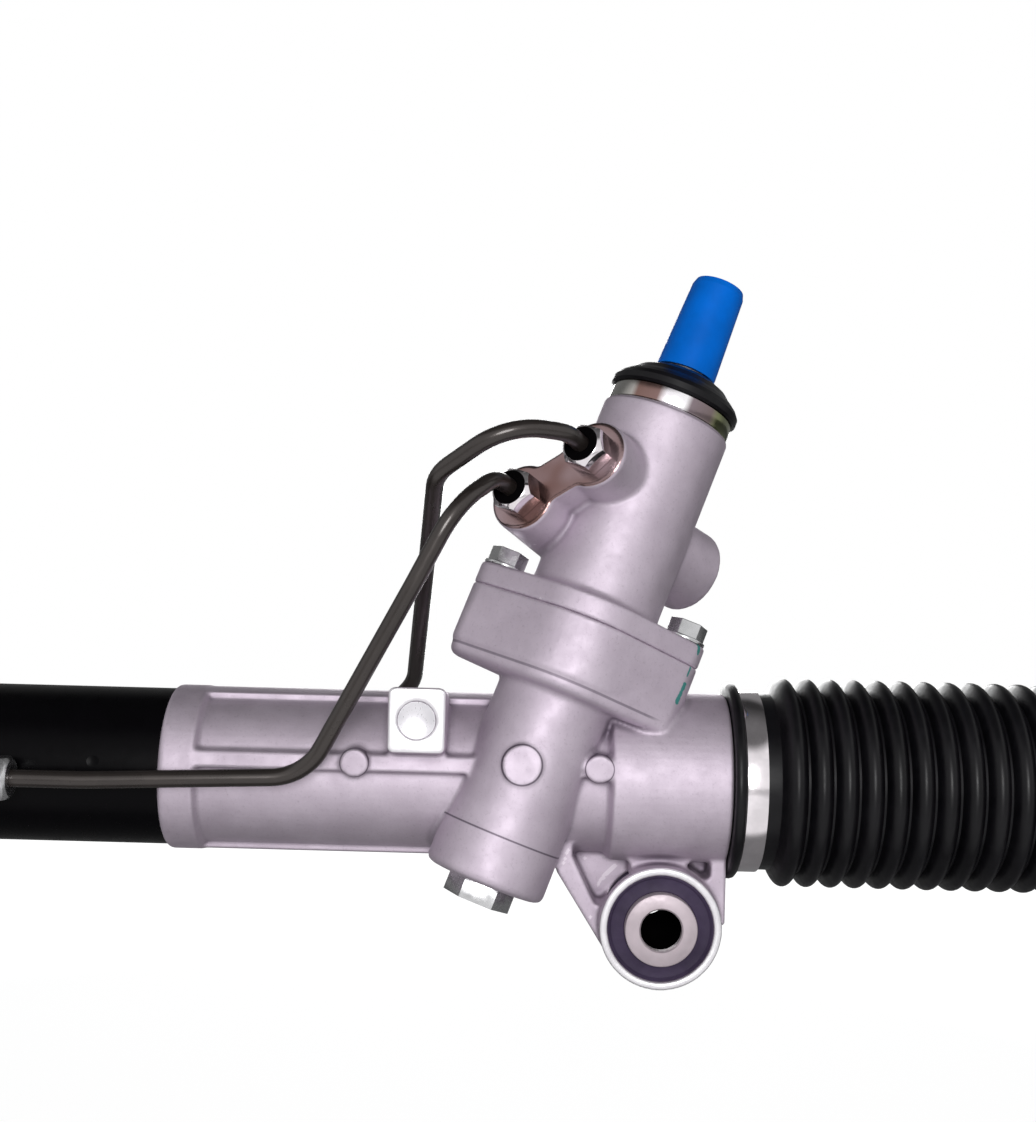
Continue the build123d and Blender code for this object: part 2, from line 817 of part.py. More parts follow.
def valve_housing():
    """The valve tower with its flange, the pipe ports in front and the hose ports behind."""
    flange = Pos(0, 0, flange_joint_s) * extrude(flange_outline(), flange_top_s - flange_joint_s)
    flange = fillet(flange.faces().sort_by(Axis.Z)[-1].edges(), flange_top_edge)
    root = flange_top_edge * 2
    points = [
        (0, flange_joint_s),
        (valve_housing_radius + root, flange_joint_s),
        (valve_housing_radius + root, flange_top_s),
        (valve_housing_radius + root / 3, flange_top_s + root / 3),
        (valve_housing_radius, flange_top_s + root),
        (valve_housing_radius, valve_housing_top_s - flange_top_edge),
        (valve_housing_radius - flange_top_edge, valve_housing_top_s),
        (0, valve_housing_top_s),
    ]
    body = flange + turned_on_tower(points)
    body += pipe_port_boss()
    for azimuth, s, radius, face in hose_ports():
        body += port_frame(azimuth, 0, s, 0).location * Cylinder(
            radius, face, align=(Align.CENTER, Align.CENTER, Align.MIN)
        )
    body -= s_rod(valve_bore, flange_joint_s - overrun, input_bearing_low_s)
    body -= s_rod(tower_bore, flange_joint_s, valve_housing_top_s + overrun)
    for shift, s in ((0, upper_port_s), (lower_port_shift, lower_port_s)):
        body -= threaded_hole(front_port_frame(shift, s, port_face_h), port_thread_radius, port_thread_depth)
    body -= hose_hole(hose_azimuth, hose_port_s, hose_face_h, hose_thread_radius)
    body -= hose_hole(return_azimuth, return_port_s, return_face_h, return_thread_radius)
    for side in (-1, 1):
        hole = s_rod(flange_bolt_radius + running_gap, flange_joint_s - overrun, flange_top_s + overrun)
        body -= Pos(side * flange_bolt_u, 0, 0) * hole
    return tower * body


def hose_ports():
    """Azimuth, height, boss radius and face distance of each hose port."""
    return (
        (hose_azimuth, hose_port_s, hose_boss_radius, hose_face_h),
        (return_azimuth, return_port_s, return_boss_radius, return_face_h),
    )


def pipe_port_boss():
    """The figure-of-eight boss with two spot-faced pipe ports."""
    boss = Part()
    for shift, s in ((0, upper_port_s), (lower_port_shift, lower_port_s)):
        top = front_port_frame(shift, s, port_face_h)
        low = front_port_frame(shift, s, 0)
        face = top * Circle(port_boss_radius - port_edge)
        rim = front_port_frame(shift, s, port_face_h - port_edge) * Circle(port_boss_radius)
        foot = low * Circle(port_boss_radius + port_root_grow)
        boss += loft([foot, rim])
        boss += loft([rim, face])
    middle_s = (upper_port_s + lower_port_s) / 2
    gap_s = upper_port_s - lower_port_s
    lean = math.degrees(math.atan2(gap_s, -lower_port_shift))
    length = math.hypot(gap_s, lower_port_shift)
    frame = front_port_frame(lower_port_shift / 2, middle_s, 0)
    bridge = Box(length, port_waist, port_face_h, align=(Align.CENTER, Align.CENTER, Align.MIN))
    return boss + frame.location * Rot(0, 0, lean) * bridge


def threaded_hole(frame, radius, depth):
    """A round hole cut down from the face that the frame stands on."""
    hole = Cylinder(radius, depth + overrun, align=(Align.CENTER, Align.CENTER, Align.MAX))
    return frame.location * Pos(0, 0, overrun) * hole


def hose_hole(azimuth, s, face, radius):
    """A hose port's threaded hole."""
    return threaded_hole(port_frame(azimuth, 0, s, face), radius, hose_thread_depth)


def flange_bolts():
    """The two flanged bolts that hold the valve housing."""
    bolts = Part()
    for side in (-1, 1):
        seat = flange_top_s + running_gap
        bolt = s_rod(flange_bolt_radius, bolt_tip_s(), seat)
        bolt += s_rod(flange_washer_radius, seat, seat + flange_washer_height)
        bolt += Pos(0, 0, seat + flange_washer_height) * hexagon(flange_bolt_flats, flange_bolt_head)
        bolts += Pos(side * flange_bolt_u, 0, 0) * bolt
    return tower * bolts


def flange_o_ring():
    """The round sealing ring between the housing and the valve housing."""
    wire = ring_seal_wire - running_gap
    height = flange_joint_s - ring_seal_wire
    return tower * Pos(0, 0, height) * Torus(ring_seal_radius, wire)


def bearing_race(outer, inner):
    """One race of the pinion's ball bearing, with its ball groove."""
    low = bearing_seat_s + running_gap
    ring = s_ring(outer, inner, low, low + bearing_width)
    middle = (tower_bore + journal_radius) / 2
    groove = Pos(0, 0, low + bearing_width / 2) * Torus(middle, bearing_ball_radius + running_gap)
    return tower * (ring - groove)


def lower_bearing_balls():
    """The balls of the pinion's lower bearing."""
    middle = (tower_bore + journal_radius) / 2
    height = bearing_seat_s + running_gap + bearing_width / 2
    balls = Part()
    for place in PolarLocations(middle, bearing_ball_count):
        balls += Pos(0, 0, height) * place * Sphere(bearing_ball_radius)
    return tower * balls


def needle_bearing(shaft, bore, low, width):
    """A drawn-cup needle bearing, as its cup with the needles' ring in one."""
    return tower * s_ring(bore - running_gap, shaft + running_gap, low, low + width)


def shaft_seal(shaft, bore, low, width):
    """A lip seal round the pinion or the input shaft."""
    inner = shaft + running_gap
    lip = (bore - inner) / 2
    points = [
        (bore - running_gap, low),
        (bore - running_gap, low + width),
        (inner, low + width),
        (inner, low + width / 2),
        (inner + lip, low + width / 2),
        (inner + lip, low),
    ]
    return tower * turned_on_tower(points)


def bottom_plug():
    """The hexagonal plug that closes the foot of the pinion tower."""
    low = tower_foot_s - plug_hex_height
    body = Pos(0, 0, low) * hexagon(plug_flats, plug_hex_height - running_gap)
    body += s_rod(plug_radius - running_gap, tower_foot_s - running_gap, tower_foot_s + plug_reach)
    hollow = s_rod(plug_radius - plug_wall, low + plug_wall, tower_foot_s + plug_reach + overrun)
    return tower * (body - hollow)


def top_ring():
    """The bright steel ring on top of the valve housing."""
    low = valve_housing_top_s + running_gap
    return tower * s_ring(top_ring_radius, top_ring_bore, low, low + top_ring_height - running_gap)


def dust_cover():
    """The rubber dust cover that stands over the valve housing."""
    low = top_ring_top_s + running_gap
    inner = input_radius + seat_gap
    points = [(inner, low)]
    for radius, height in dust_cover_shares:
        points.append((radius * dust_cover_radius, low + height * dust_cover_height))
    points.append((inner, low + dust_cover_height))
    return tower * turned_on_tower(points)


def involute_angle(radius, base, tooth_half_angle, rolling_angle):
    """Half the angle that a pinion tooth takes up at a radius."""
    if radius <= base:
        return tooth_half_angle + rolling_angle
    slope = math.acos(base / radius)
    return tooth_half_angle + rolling_angle - (math.tan(slope) - slope)


def pinion_section():
    """The toothed section across the pinion, with one tooth towards the rack."""
    transverse = math.atan(math.tan(math.radians(pressure_angle)) / math.cos(tilt))
    base = pinion_pitch_radius * math.cos(transverse)
    rolling_angle = math.tan(transverse) - transverse
    half = pinion_tooth_width / (2 * pinion_pitch_radius)
    radii = [base + (pinion_tip_radius - base) * step / 3 for step in range(4)]
    section = Circle(pinion_root_radius + running_gap)
    for tooth in range(pinion_teeth):
        centre = math.radians(90) + tooth * 2 * math.pi / pinion_teeth
        flanks = []
        for side in (-1, 1):
            points = []
            for radius in radii:
                turn = centre + side * involute_angle(radius, base, half, rolling_angle)
                points.append((radius * math.cos(turn), radius * math.sin(turn)))
            flanks.append(points)
        turn = half + rolling_angle
        roots = []
        for side in (-1, 1):
            place = centre + side * turn
            roots.append((pinion_root_radius * math.cos(place), pinion_root_radius * math.sin(place)))
        tip = (pinion_tip_radius * math.cos(centre), pinion_tip_radius * math.sin(centre))
        outline = Line(roots[0], flanks[0][0]) + Spline(*flanks[0])
        outline += ThreePointArc(flanks[0][-1], tip, flanks[1][-1])
        outline += Spline(*reversed(flanks[1])) + Line(flanks[1][0], roots[1])
        outline += Line(roots[1], roots[0])
        section += make_face(outline)
    return section


def pinion():
    """The helical pinion with its journals, shank and valve head."""
    low = -pinion_tooth_length / 2
    turn = math.degrees(math.tan(tilt) / pinion_pitch_radius)
    section = pinion_section().face()
    start = section.rotate(Axis.Z, turn * low).moved(Pos(0, 0, low))
    teeth = Solid.extrude_linear_with_rotation(
        start, (0, 0, low), (0, 0, pinion_tooth_length), turn * pinion_tooth_length
    )
    race_top = bearing_seat_s + bearing_width + running_gap * 2
    thread_top = bearing_seat_s
    points = [
        (0, thread_top - pinion_nut_height),
        (pinion_thread_radius, thread_top - pinion_nut_height),
        (pinion_thread_radius, thread_top),
        (journal_radius, thread_top),
        (journal_radius, race_top),
        (pinion_root_radius - running_gap, race_top),
        (pinion_root_radius - running_gap, low),
        (0, low),
    ]
    foot = turned_on_tower(points)
    high = low + pinion_tooth_length
    points = [
        (0, high),
        (pinion_shank_radius, high),
        (pinion_shank_radius, pinion_head_low_s),
        (pinion_head_radius, pinion_head_low_s + pinion_head_radius - pinion_shank_radius),
        (pinion_head_radius, pinion_head_top_s),
        (0, pinion_head_top_s),
    ]
    body = turned_on_tower(points) + foot + teeth
    body -= s_rod(torsion_head_radius, torsion_low_s, pinion_head_top_s + overrun)
    return tower * body


def pinion_nut():
    """The lock nut under the pinion's lower bearing."""
    low = bearing_seat_s - pinion_nut_height
    nut = Pos(0, 0, low) * hexagon(pinion_nut_flats, pinion_nut_height)
    return tower * (nut - s_rod(pinion_thread_radius, low - overrun, bearing_seat_s + overrun))


def sleeve_ring_places():
    """Low edge of each sealing ring on the valve sleeve."""
    step = (valve_sleeve_top_s - valve_sleeve_low_s) / valve_ring_count
    first = valve_sleeve_low_s + (step - valve_ring_width) / 2
    return [first + step * ring for ring in range(valve_ring_count)]


def valve_sleeve():
    """The rotary valve's sleeve, grooved for its four sealing rings."""
    outer = valve_bore - running_gap
    body = s_ring(outer, input_head_radius + running_gap, valve_sleeve_low_s, valve_sleeve_top_s)
    for low in sleeve_ring_places():
        body -= s_ring(outer + overrun, outer - valve_ring_depth, low, low + valve_ring_width)
    skirt_outer = outer - valve_ring_depth
    body += s_ring(skirt_outer, pinion_head_radius, pinion_head_top_s - valve_ring_width, valve_sleeve_low_s)
    return tower * body


def valve_sleeve_rings():
    """The sealing rings in the valve sleeve's grooves."""
    outer = valve_bore - running_gap
    rings = Part()
    for low in sleeve_ring_places():
        rings += s_ring(outer, outer - valve_ring_depth, low, low + valve_ring_width)
    return tower * rings


def torsion_bar():
    """The thin bar that twists between the pinion and the input shaft."""
    body = s_rod(torsion_bar_radius, torsion_low_s, torsion_top_s)
    return tower * (body + s_rod(torsion_head_radius, torsion_low_s, torsion_low_s + torsion_head_length))


def input_shaft():
    """The hollow input shaft, stepped for its valve lands, seal and splined end."""
    low = pinion_head_top_s + seat_gap * 2
    head_top = input_bearing_low_s - seat_gap
    points = [
        (0, low),
        (input_head_radius, low),
        (input_head_radius, head_top),
        (input_radius, head_top),
        (input_radius, input_spline_low_s),
        (input_spline_radius, input_spline_low_s + input_radius - input_spline_radius),
        (input_spline_radius, input_top_s - rack_chamfer),
        (input_spline_radius - rack_chamfer, input_top_s),
        (0, input_top_s),
    ]
    bore = s_rod(torsion_bar_radius + running_gap, low - overrun, torsion_top_s + seat_gap)
    return tower * (turned_on_tower(points) - bore)


def shaft_cap():
    """The plastic transport cap over the splined end of the input shaft."""
    inner_low = cap_low_radius - cap_wall
    inner_top = input_spline_radius + running_gap
    points = [
        (inner_low, cap_low_s),
        (cap_low_radius, cap_low_s),
        (cap_top_radius, cap_top_s - cap_edge),
        (cap_top_radius - cap_edge / 4, cap_top_s - cap_edge / 4),
        (cap_top_radius - cap_edge, cap_top_s),
        (0, cap_top_s),
        (0, input_top_s + seat_gap),
        (inner_top, input_top_s + seat_gap),
        (inner_top, input_spline_low_s + cap_edge),
        (inner_low, input_spline_low_s),
    ]
    return tower * turned_on_tower(points)


def pipe_nut(frame):
    """A flare nut whose hexagon stands on the frame, bored for its pipe."""
    body = hexagon(nut_flats, nut_hex_height)
    height = nut_hex_height + nut_corner * 2
    top = nut_flats / 2 - nut_corner
    body &= Pos(0, 0, height / 2 - nut_corner * 2) * Cone(top + height, top, height)
    reach = Cylinder(
        port_thread_radius - running_gap, nut_thread_reach, align=(Align.CENTER, Align.CENTER, Align.MAX)
    )
    bore = Cylinder(pipe_radius + running_gap, (nut_hex_height + nut_thread_reach) * 2)
    return frame.location * (body + Pos(0, 0, overrun) * reach - bore)


def valve_pipe_nuts():
    """The two flare nuts in the valve housing."""
    nuts = Part()
    for shift, s in ((0, upper_port_s), (lower_port_shift, lower_port_s)):
        nuts += pipe_nut(front_port_frame(shift, s, port_face_h + running_gap))
    return tower * nuts


def tube_nut_frame(port_x, pipe_y, pipe_z):
    """Axes of a flare nut on the tube, which looks to the right."""
    face = port_x + port_block_length / 2 + running_gap
    return Plane(origin=(face, pipe_y, pipe_z), x_dir=(0, 1, 0), z_dir=(1, 0, 0))


def cylinder_pipe_nuts():
    """The two flare nuts in the tube's port blocks."""
    near = pipe_nut(tube_nut_frame(near_port_x, near_pipe_y, near_pipe_z))
    return near + pipe_nut(tube_nut_frame(far_port_x, far_pipe_y, far_pipe_z))


def bent_pipe(shift, s, places, run, end, bends):
    """A steel pipe from a valve port along its route to a tube port, in straight runs joined by arcs."""
    points = [port_line(shift, s, port_face_h - pipe_reach), port_line(shift, s, port_face_h + pipe_lead)]
    points += [tuple(share * route_size for share in place) for place in places]
    points += [(end[0] + run, end[1], end[2]), end]
    path = FilletPolyline(*points, radius=[share * route_size for share in bends])
    start = Plane(origin=path @ 0, z_dir=path % 0)
    return sweep(start * Circle(pipe_radius), path=path)


def upper_pipe():
    """The pipe from the upper port, over and behind the housing to the far end of the cylinder."""
    end = (far_port_x + port_block_length / 2 - pipe_reach, far_pipe_y, far_pipe_z)
    return bent_pipe(0, upper_port_s, upper_route_shares, far_pipe_run, end, upper_bend_shares)


def lower_pipe():
    """The pipe from the lower port, down across the barrel to the near end of the cylinder."""
    end = (near_port_x + port_block_length / 2 - pipe_reach, near_pipe_y, near_pipe_z)
    places = lower_route_shares
    return bent_pipe(lower_port_shift, lower_port_s, places, near_pipe_run, end, lower_bend_shares)


def pad_plug():
    """The dished plug in the square pad."""
    low = pad_face_y + pad_plug_depth
    body = y_rod(pad_plug_radius - running_gap, pad_face_y + running_gap, low, pad_x, pad_z)
    bowl = pad_plug_radius * 2
    sphere_radius = (bowl**2 / 4 + pad_plug_dish**2) / (2 * pad_plug_dish)
    return body - Pos(pad_x, pad_face_y + pad_plug_dish - sphere_radius, pad_z) * Sphere(sphere_radius)


def fold_radius(fold):
    """Crest radius of one fold of a boot, which narrows towards the tie rod."""
    straight = boot_folds - boot_taper_folds
    if fold < straight:
        return boot_crest_radius
    share = (fold - straight + 1) / boot_taper_folds
    return boot_crest_radius + (boot_end_crest_radius - boot_crest_radius) * share


def boot_profile(cuff_bore):
    """Outline of a boot, as places along it and radii, from its bead to its small cuff."""
    outer = [
        (0, cuff_bore),
        (0, boot_bead_radius - boot_wall / 2),
        (boot_wall / 2, boot_bead_radius),
        (boot_bead_length - boot_wall / 2, boot_bead_radius),
        (boot_bead_length, boot_groove_radius),
        (boot_bead_length + boot_groove_length, boot_groove_radius),
        (boot_bead_length + boot_groove_length + boot_wall, boot_groove_radius + boot_wall),
    ]
    start = boot_bead_length + boot_groove_length + boot_shoulder
    inner = [(boot_bead_length + boot_groove_length, cuff_bore)]
    for fold in range(boot_folds):
        crest = start + fold * boot_pitch
        radius = fold_radius(fold)
        outer.append((crest, radius))
        outer.append((crest + boot_pitch / 2, fold_radius(fold + 1) - boot_fold_depth))
        inner.append((crest, radius - boot_wall * 1.6))
        inner.append((crest + boot_pitch / 2, fold_radius(fold + 1) - boot_fold_depth - boot_wall))
    last = start + boot_folds * boot_pitch
    outer.append((last, boot_cuff_radius))
    outer.append((last + boot_cuff_length, boot_cuff_radius))
    inner[-1] = (last - boot_pitch / 2, boot_cuff_radius)
    inner.append((last, tie_rod_radius + seat_gap))
    inner.append((last + boot_cuff_length, tie_rod_radius + seat_gap))
    return outer + list(reversed(inner))


def boot_cuff_place():
    """Distance from a boot's bead to the start of its small cuff."""
    return boot_bead_length + boot_groove_length + boot_shoulder + boot_folds * boot_pitch


def right_boot():
    """The corrugated boot on the housing's spigot."""
    start = big_end_right_x + seat_gap
    return turned_on_rack([(start + x, r) for x, r in boot_profile(spigot_radius + seat_gap)])


def left_boot():
    """The corrugated boot on the tube's end."""
    return turned_on_rack([(boot_left_x - x, r) for x, r in boot_profile(tube_radius + seat_gap)])


def band_clamp(start, end):
    """A steel band round a boot's large cuff, with its crimped ear behind."""
    inner = boot_groove_radius + clamp_lift
    outer = inner + clamp_thickness
    band = x_ring(outer, inner, start, end)
    middle = (start + end) / 2
    ear = block(
        (middle - clamp_ear_width / 2, middle + clamp_ear_width / 2),
        (-clamp_ear_length / 2, clamp_ear_length / 2),
        (outer - clamp_thickness / 2, outer + clamp_ear_height),
    )
    return band + Rot(-40, 0, 0) * ear


def boot_band_clamps():
    """The band clamps of both boots."""
    right = big_end_right_x + seat_gap + boot_bead_length + clamp_lift
    left = boot_left_x - boot_bead_length - clamp_lift
    length = boot_groove_length - clamp_lift * 2
    return band_clamp(right, right + length) + band_clamp(left - length, left)


def boot_clip(centre):
    """The sprung clip round a boot's small cuff, with two squeeze ears."""
    inner = boot_cuff_radius + clamp_lift
    outer = inner + clip_thickness
    half = clip_width / 2
    ring = x_ring(outer, inner, centre - half, centre + half)
    for side in (-1, 1):
        y = side * clip_ear_width * 1.5
        ring += block(
            (centre - half, centre + half),
            (y - clip_ear_width / 2, y + clip_ear_width / 2),
            (inner + clip_thickness / 2, outer + clip_ear_height),
        )
    return ring


def rack_teeth_cutter():
    """Everything cut away in front of the rack teeth, as one comb."""
    slope = math.tan(math.radians(pressure_angle))
    normal_tooth = pinion_tooth_width * math.cos(tilt)
    gap_half = (normal_tooth + backlash) / 2
    tip_y = -rolling_line_depth - rack_addendum
    root_y = -rolling_line_depth + rack_dedendum
    tip_half = gap_half + rack_addendum * slope
    root_half = gap_half - rack_dedendum * slope
    count = int(teeth_half_zone / tooth_pitch)
    end = (count + 0.5) * tooth_pitch
    points = [(-end, tip_y)]
    for gap in range(-count, count + 1):
        x = gap * tooth_pitch
        points += [(x - tip_half, tip_y), (x - root_half, root_y)]
        points += [(x + root_half, root_y), (x + tip_half, tip_y)]
    far = end + overrun
    front = -rack_radius - overrun
    points += [(end, tip_y), (far, front), (-far, front)]
    return extrude(make_face(Polyline(*points, close=True)), rack_radius + overrun, both=True)


def rack_bar():
    """The rack bar, toothed in front, with a threaded hole in each end."""
    points = [
        (rack_left_x, 0),
        (rack_left_x, rack_radius - rack_chamfer),
        (rack_left_x + rack_chamfer, rack_radius),
        (rack_right_x - rack_chamfer, rack_radius),
        (rack_right_x, rack_radius - rack_chamfer),
        (rack_right_x, 0),
    ]
    body = turned_on_rack(points) - pinion_side * rack_teeth_cutter()
    body -= x_rod(stub_radius, rack_right_x - end_bore_depth, rack_right_x + overrun)
    return body - x_rod(stub_radius, rack_left_x - overrun, rack_left_x + end_bore_depth)


def piston():
    """The piston on the rack bar, grooved for its ring."""
    half = piston_width / 2
    outer = tube_bore - running_gap
    body = x_ring(outer, rack_radius, piston_x - half, piston_x + half)
    half = piston_ring_width / 2
    return body - x_ring(outer + overrun, outer - piston_ring_depth, piston_x - half, piston_x + half)


def piston_ring():
    """The piston's sealing ring."""
    outer = tube_bore - running_gap
    half = piston_ring_width / 2
    return x_ring(outer, outer - piston_ring_depth, piston_x - half, piston_x + half)


def joint_place(side):
    """Axes of one inner ball joint: origin at its rack flange, X away from the rack."""
    if side > 0:
        return Pos(right_flange_x, 0, 0)
    return Pos(left_flange_x, 0, 0) * Rot(0, 0, 180)


def inner_socket(side):
    """The socket of an inner ball joint, with the stub that screws into the rack bar."""
    edge = socket_edge
    points = [
        (-washer_thickness - stub_length, 0),
        (-washer_thickness - stub_length, stub_radius),
        (0, stub_radius),
        (0, socket_radius),
        (socket_length - edge * 4, socket_radius),
        (socket_length, mouth_high_radius + edge),
        (socket_length, 0),
    ]
    body = turned_on_rack(points)
    cavity = Pos(ball_from_flange, 0, 0) * Sphere(ball_radius + seat_thickness + running_gap)
    mouth_start = ball_from_flange + seat_mouth - running_gap
    mouth = Pos(mouth_start, 0, 0) * Rot(0, 90, 0) * Cone(
        mouth_low_radius + seat_thickness,
        mouth_high_radius,
        socket_length - mouth_start + running_gap,
        align=(Align.CENTER, Align.CENTER, Align.MIN),
    )
    return joint_place(side) * (body - cavity - mouth)


def ball_seat(side):
    """The plastic seat round the ball of an inner joint."""
    shell = Sphere(ball_radius + seat_thickness) - Sphere(ball_radius + running_gap)
    reach = ball_radius * 2
    cut = x_rod(reach, seat_mouth, reach)
    low = x_rod(reach, -reach, -seat_mouth)
    return joint_place(side) * Pos(ball_from_flange, 0, 0) * (shell - cut - low)


def ball_seats():
    """The seats of both inner joints."""
    return ball_seat(1) + ball_seat(-1)


def lock_washers():
    """The tab washers between the rack bar and the inner joints."""
    washers = Part()
    for side in (-1, 1):
        ring = x_ring(washer_radius, stub_radius, -washer_thickness, 0)
        washers += joint_place(side) * ring
    return washers


def tie_rod(side):
    """A tie rod with its ball, waist, boot groove, spanner flats and threaded end."""
    far = tie_rod_length
    thread = far - tie_thread_length
    cuff = boot_cuff_mark(side)
    groove = tie_rod_radius - tie_groove_depth
    half = clip_width / 2
    points = [
        (0, 0),
        (0, tie_neck_radius),
        (tie_neck_length, tie_neck_radius),
        (tie_neck_length + tie_rod_radius, tie_rod_radius),
        (cuff - half - tie_groove_depth, tie_rod_radius),
        (cuff - half, groove),
        (cuff + half, groove),
        (cuff + half + tie_groove_depth, tie_rod_radius),
        (thread - tie_chamfer, tie_rod_radius),
        (thread, tie_thread_radius),
        (far - tie_chamfer, tie_thread_radius),
        (far, tie_thread_radius - tie_chamfer),
        (far, 0),
    ]
    rod = turned_on_rack(points) + Sphere(ball_radius)
    flat = far - tie_flat_from_end
    for top in (-1, 1):
        low, high = sorted((top * tie_flat_width / 2, top * tie_rod_radius * 2))
        rod -= block((flat, flat + tie_flat_length), (-tie_rod_radius * 2, tie_rod_radius * 2), (low, high))
    nut = jam_nut_place()
    rod -= x_ring(tie_rod_radius, tie_pitch_radius, nut, nut + jam_nut_height + seat_gap)
    return joint_place(side) * Pos(ball_from_flange, 0, 0) * rod


def jam_nut_place():
    """Distance from a ball's centre to the inner face of its lock nut."""
    return tie_rod_length - tie_chamfer - tie_free_thread - seat_gap - jam_nut_height


def boot_cuff_mark(side):
    """Distance from a ball's centre to the middle of the boot's small cuff."""
    reach = boot_cuff_place() + boot_cuff_length / 2
    if side > 0:
        return big_end_right_x + seat_gap + reach - right_ball_x
    return left_ball_x - (boot_left_x - reach)


def jam_nut(side):
    """The nut that locks an outer joint on the tie rod's thread."""
    place = ball_from_flange + jam_nut_place()
    nut = Pos(place, 0, 0) * Rot(0, 90, 0) * hexagon(jam_nut_flats, jam_nut_height)
    bore = x_rod(tie_pitch_radius, place - overrun, place + jam_nut_height + overrun)
    return joint_place(side) * (nut - bore)


def build():
    """Make and write every piece."""
    save("rack_housing", rack_housing())
    save("cylinder_tube", cylinder_tube())
    save("bulkhead", bulkhead())
    save("inner_rack_seal", rack_seal(bulkhead_left_x))
    save("end_stopper", end_stopper())
    save("outer_rack_seal", rack_seal(stopper_right_x - seal_width))
    save("rack_end_bush", rack_end_bush())
    save("stopper_lock_ring", stopper_lock_ring())
    save("main_bush_rubber", bush_rubber(eye_x))
    save("main_bush_sleeve", bush_sleeve(eye_x))
    save("left_mount_bracket", left_mount_bracket())
    save("left_bush_rubber", bush_rubber(left_eye_x))
    save("left_bush_sleeve", bush_sleeve(left_eye_x))
    save("rack_guide", rack_guide())
    save("guide_liner", guide_liner())
    save("guide_spring", guide_spring())
    save("guide_cap", guide_cap())
    save("guide_lock_nut", guide_lock_nut())
    save("valve_housing", valve_housing())
    save("flange_bolts", flange_bolts())
    save("flange_o_ring", flange_o_ring())
    race = race_wall - running_gap
    save("lower_bearing_outer_race", bearing_race(tower_bore - running_gap, tower_bore - race))
    save("lower_bearing_balls", lower_bearing_balls())
    save("lower_bearing_inner_race", bearing_race(journal_radius + race, journal_radius))
    shank = pinion_shank_radius
    save("pinion_needle_bearing", needle_bearing(shank, tower_bore, needle_low_s, needle_width))
    save("pinion_oil_seal", shaft_seal(shank, tower_bore, pinion_seal_low_s, pinion_seal_width))
    save("bottom_plug", bottom_plug())
    low, width = input_bearing_low_s, input_bearing_width
    save("input_shaft_bearing", needle_bearing(input_radius, tower_bore, low, width))
    save("input_shaft_seal", shaft_seal(input_radius, tower_bore, input_seal_low_s, input_seal_width))
    save("top_ring", top_ring())
    save("dust_cover", dust_cover())
    save("valve_pipe_nuts", valve_pipe_nuts())
    save("cylinder_pipe_nuts", cylinder_pipe_nuts())
    save("upper_pipe", upper_pipe())
    save("lower_pipe", lower_pipe())
    save("pad_plug", pad_plug())
    save("right_boot", right_boot())
    save("left_boot", left_boot())
    save("boot_band_clamps", boot_band_clamps())
    save("pinion", pinion())
    save("pinion_nut", pinion_nut())
    save("valve_sleeve", valve_sleeve())
    save("valve_sleeve_rings", valve_sleeve_rings())
    save("torsion_bar", torsion_bar())
    save("input_shaft", input_shaft())
    save("shaft_cap", shaft_cap())
    save("rack_bar", rack_bar())
    save("piston", piston())
    save("piston_ring", piston_ring())
    save("ball_seats", ball_seats())
    save("lock_washers", lock_washers())
    for name, side in (("right", 1), ("left", -1)):
        save(f"{name}_inner_socket", inner_socket(side))
        save(f"{name}_tie_rod", tie_rod(side))
        save(f"{name}_jam_nut", jam_nut(side))
        cuff = joint_place(side) * Pos(ball_from_flange, 0, 0)
        save(f"{name}_boot_clip", cuff * boot_clip(boot_cuff_mark(side)))


build()
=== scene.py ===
import json
import math

import bmesh
import bpy
import numpy as np
import openvdb
from mathutils import Matrix, Vector

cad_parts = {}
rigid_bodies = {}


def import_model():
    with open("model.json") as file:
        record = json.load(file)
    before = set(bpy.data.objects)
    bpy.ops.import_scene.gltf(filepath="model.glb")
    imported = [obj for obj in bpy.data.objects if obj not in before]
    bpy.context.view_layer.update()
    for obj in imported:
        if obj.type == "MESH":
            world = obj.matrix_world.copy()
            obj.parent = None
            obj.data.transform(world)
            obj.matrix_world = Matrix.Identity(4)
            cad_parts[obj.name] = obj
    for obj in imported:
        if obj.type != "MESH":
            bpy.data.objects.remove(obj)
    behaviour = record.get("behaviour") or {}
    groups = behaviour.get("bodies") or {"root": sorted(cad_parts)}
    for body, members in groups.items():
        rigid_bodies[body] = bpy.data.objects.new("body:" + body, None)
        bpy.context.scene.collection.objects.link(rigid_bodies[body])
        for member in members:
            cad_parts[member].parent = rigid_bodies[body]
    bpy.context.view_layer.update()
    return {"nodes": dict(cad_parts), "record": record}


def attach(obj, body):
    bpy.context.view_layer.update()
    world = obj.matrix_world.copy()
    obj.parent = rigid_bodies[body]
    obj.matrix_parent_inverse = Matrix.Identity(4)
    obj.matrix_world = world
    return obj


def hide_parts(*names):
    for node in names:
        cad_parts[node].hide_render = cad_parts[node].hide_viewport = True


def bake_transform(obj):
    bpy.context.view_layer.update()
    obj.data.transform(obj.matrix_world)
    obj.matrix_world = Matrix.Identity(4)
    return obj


for item in list(bpy.data.objects):
    bpy.data.objects.remove(item, do_unlink=True)

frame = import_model()
NODES = frame["nodes"]

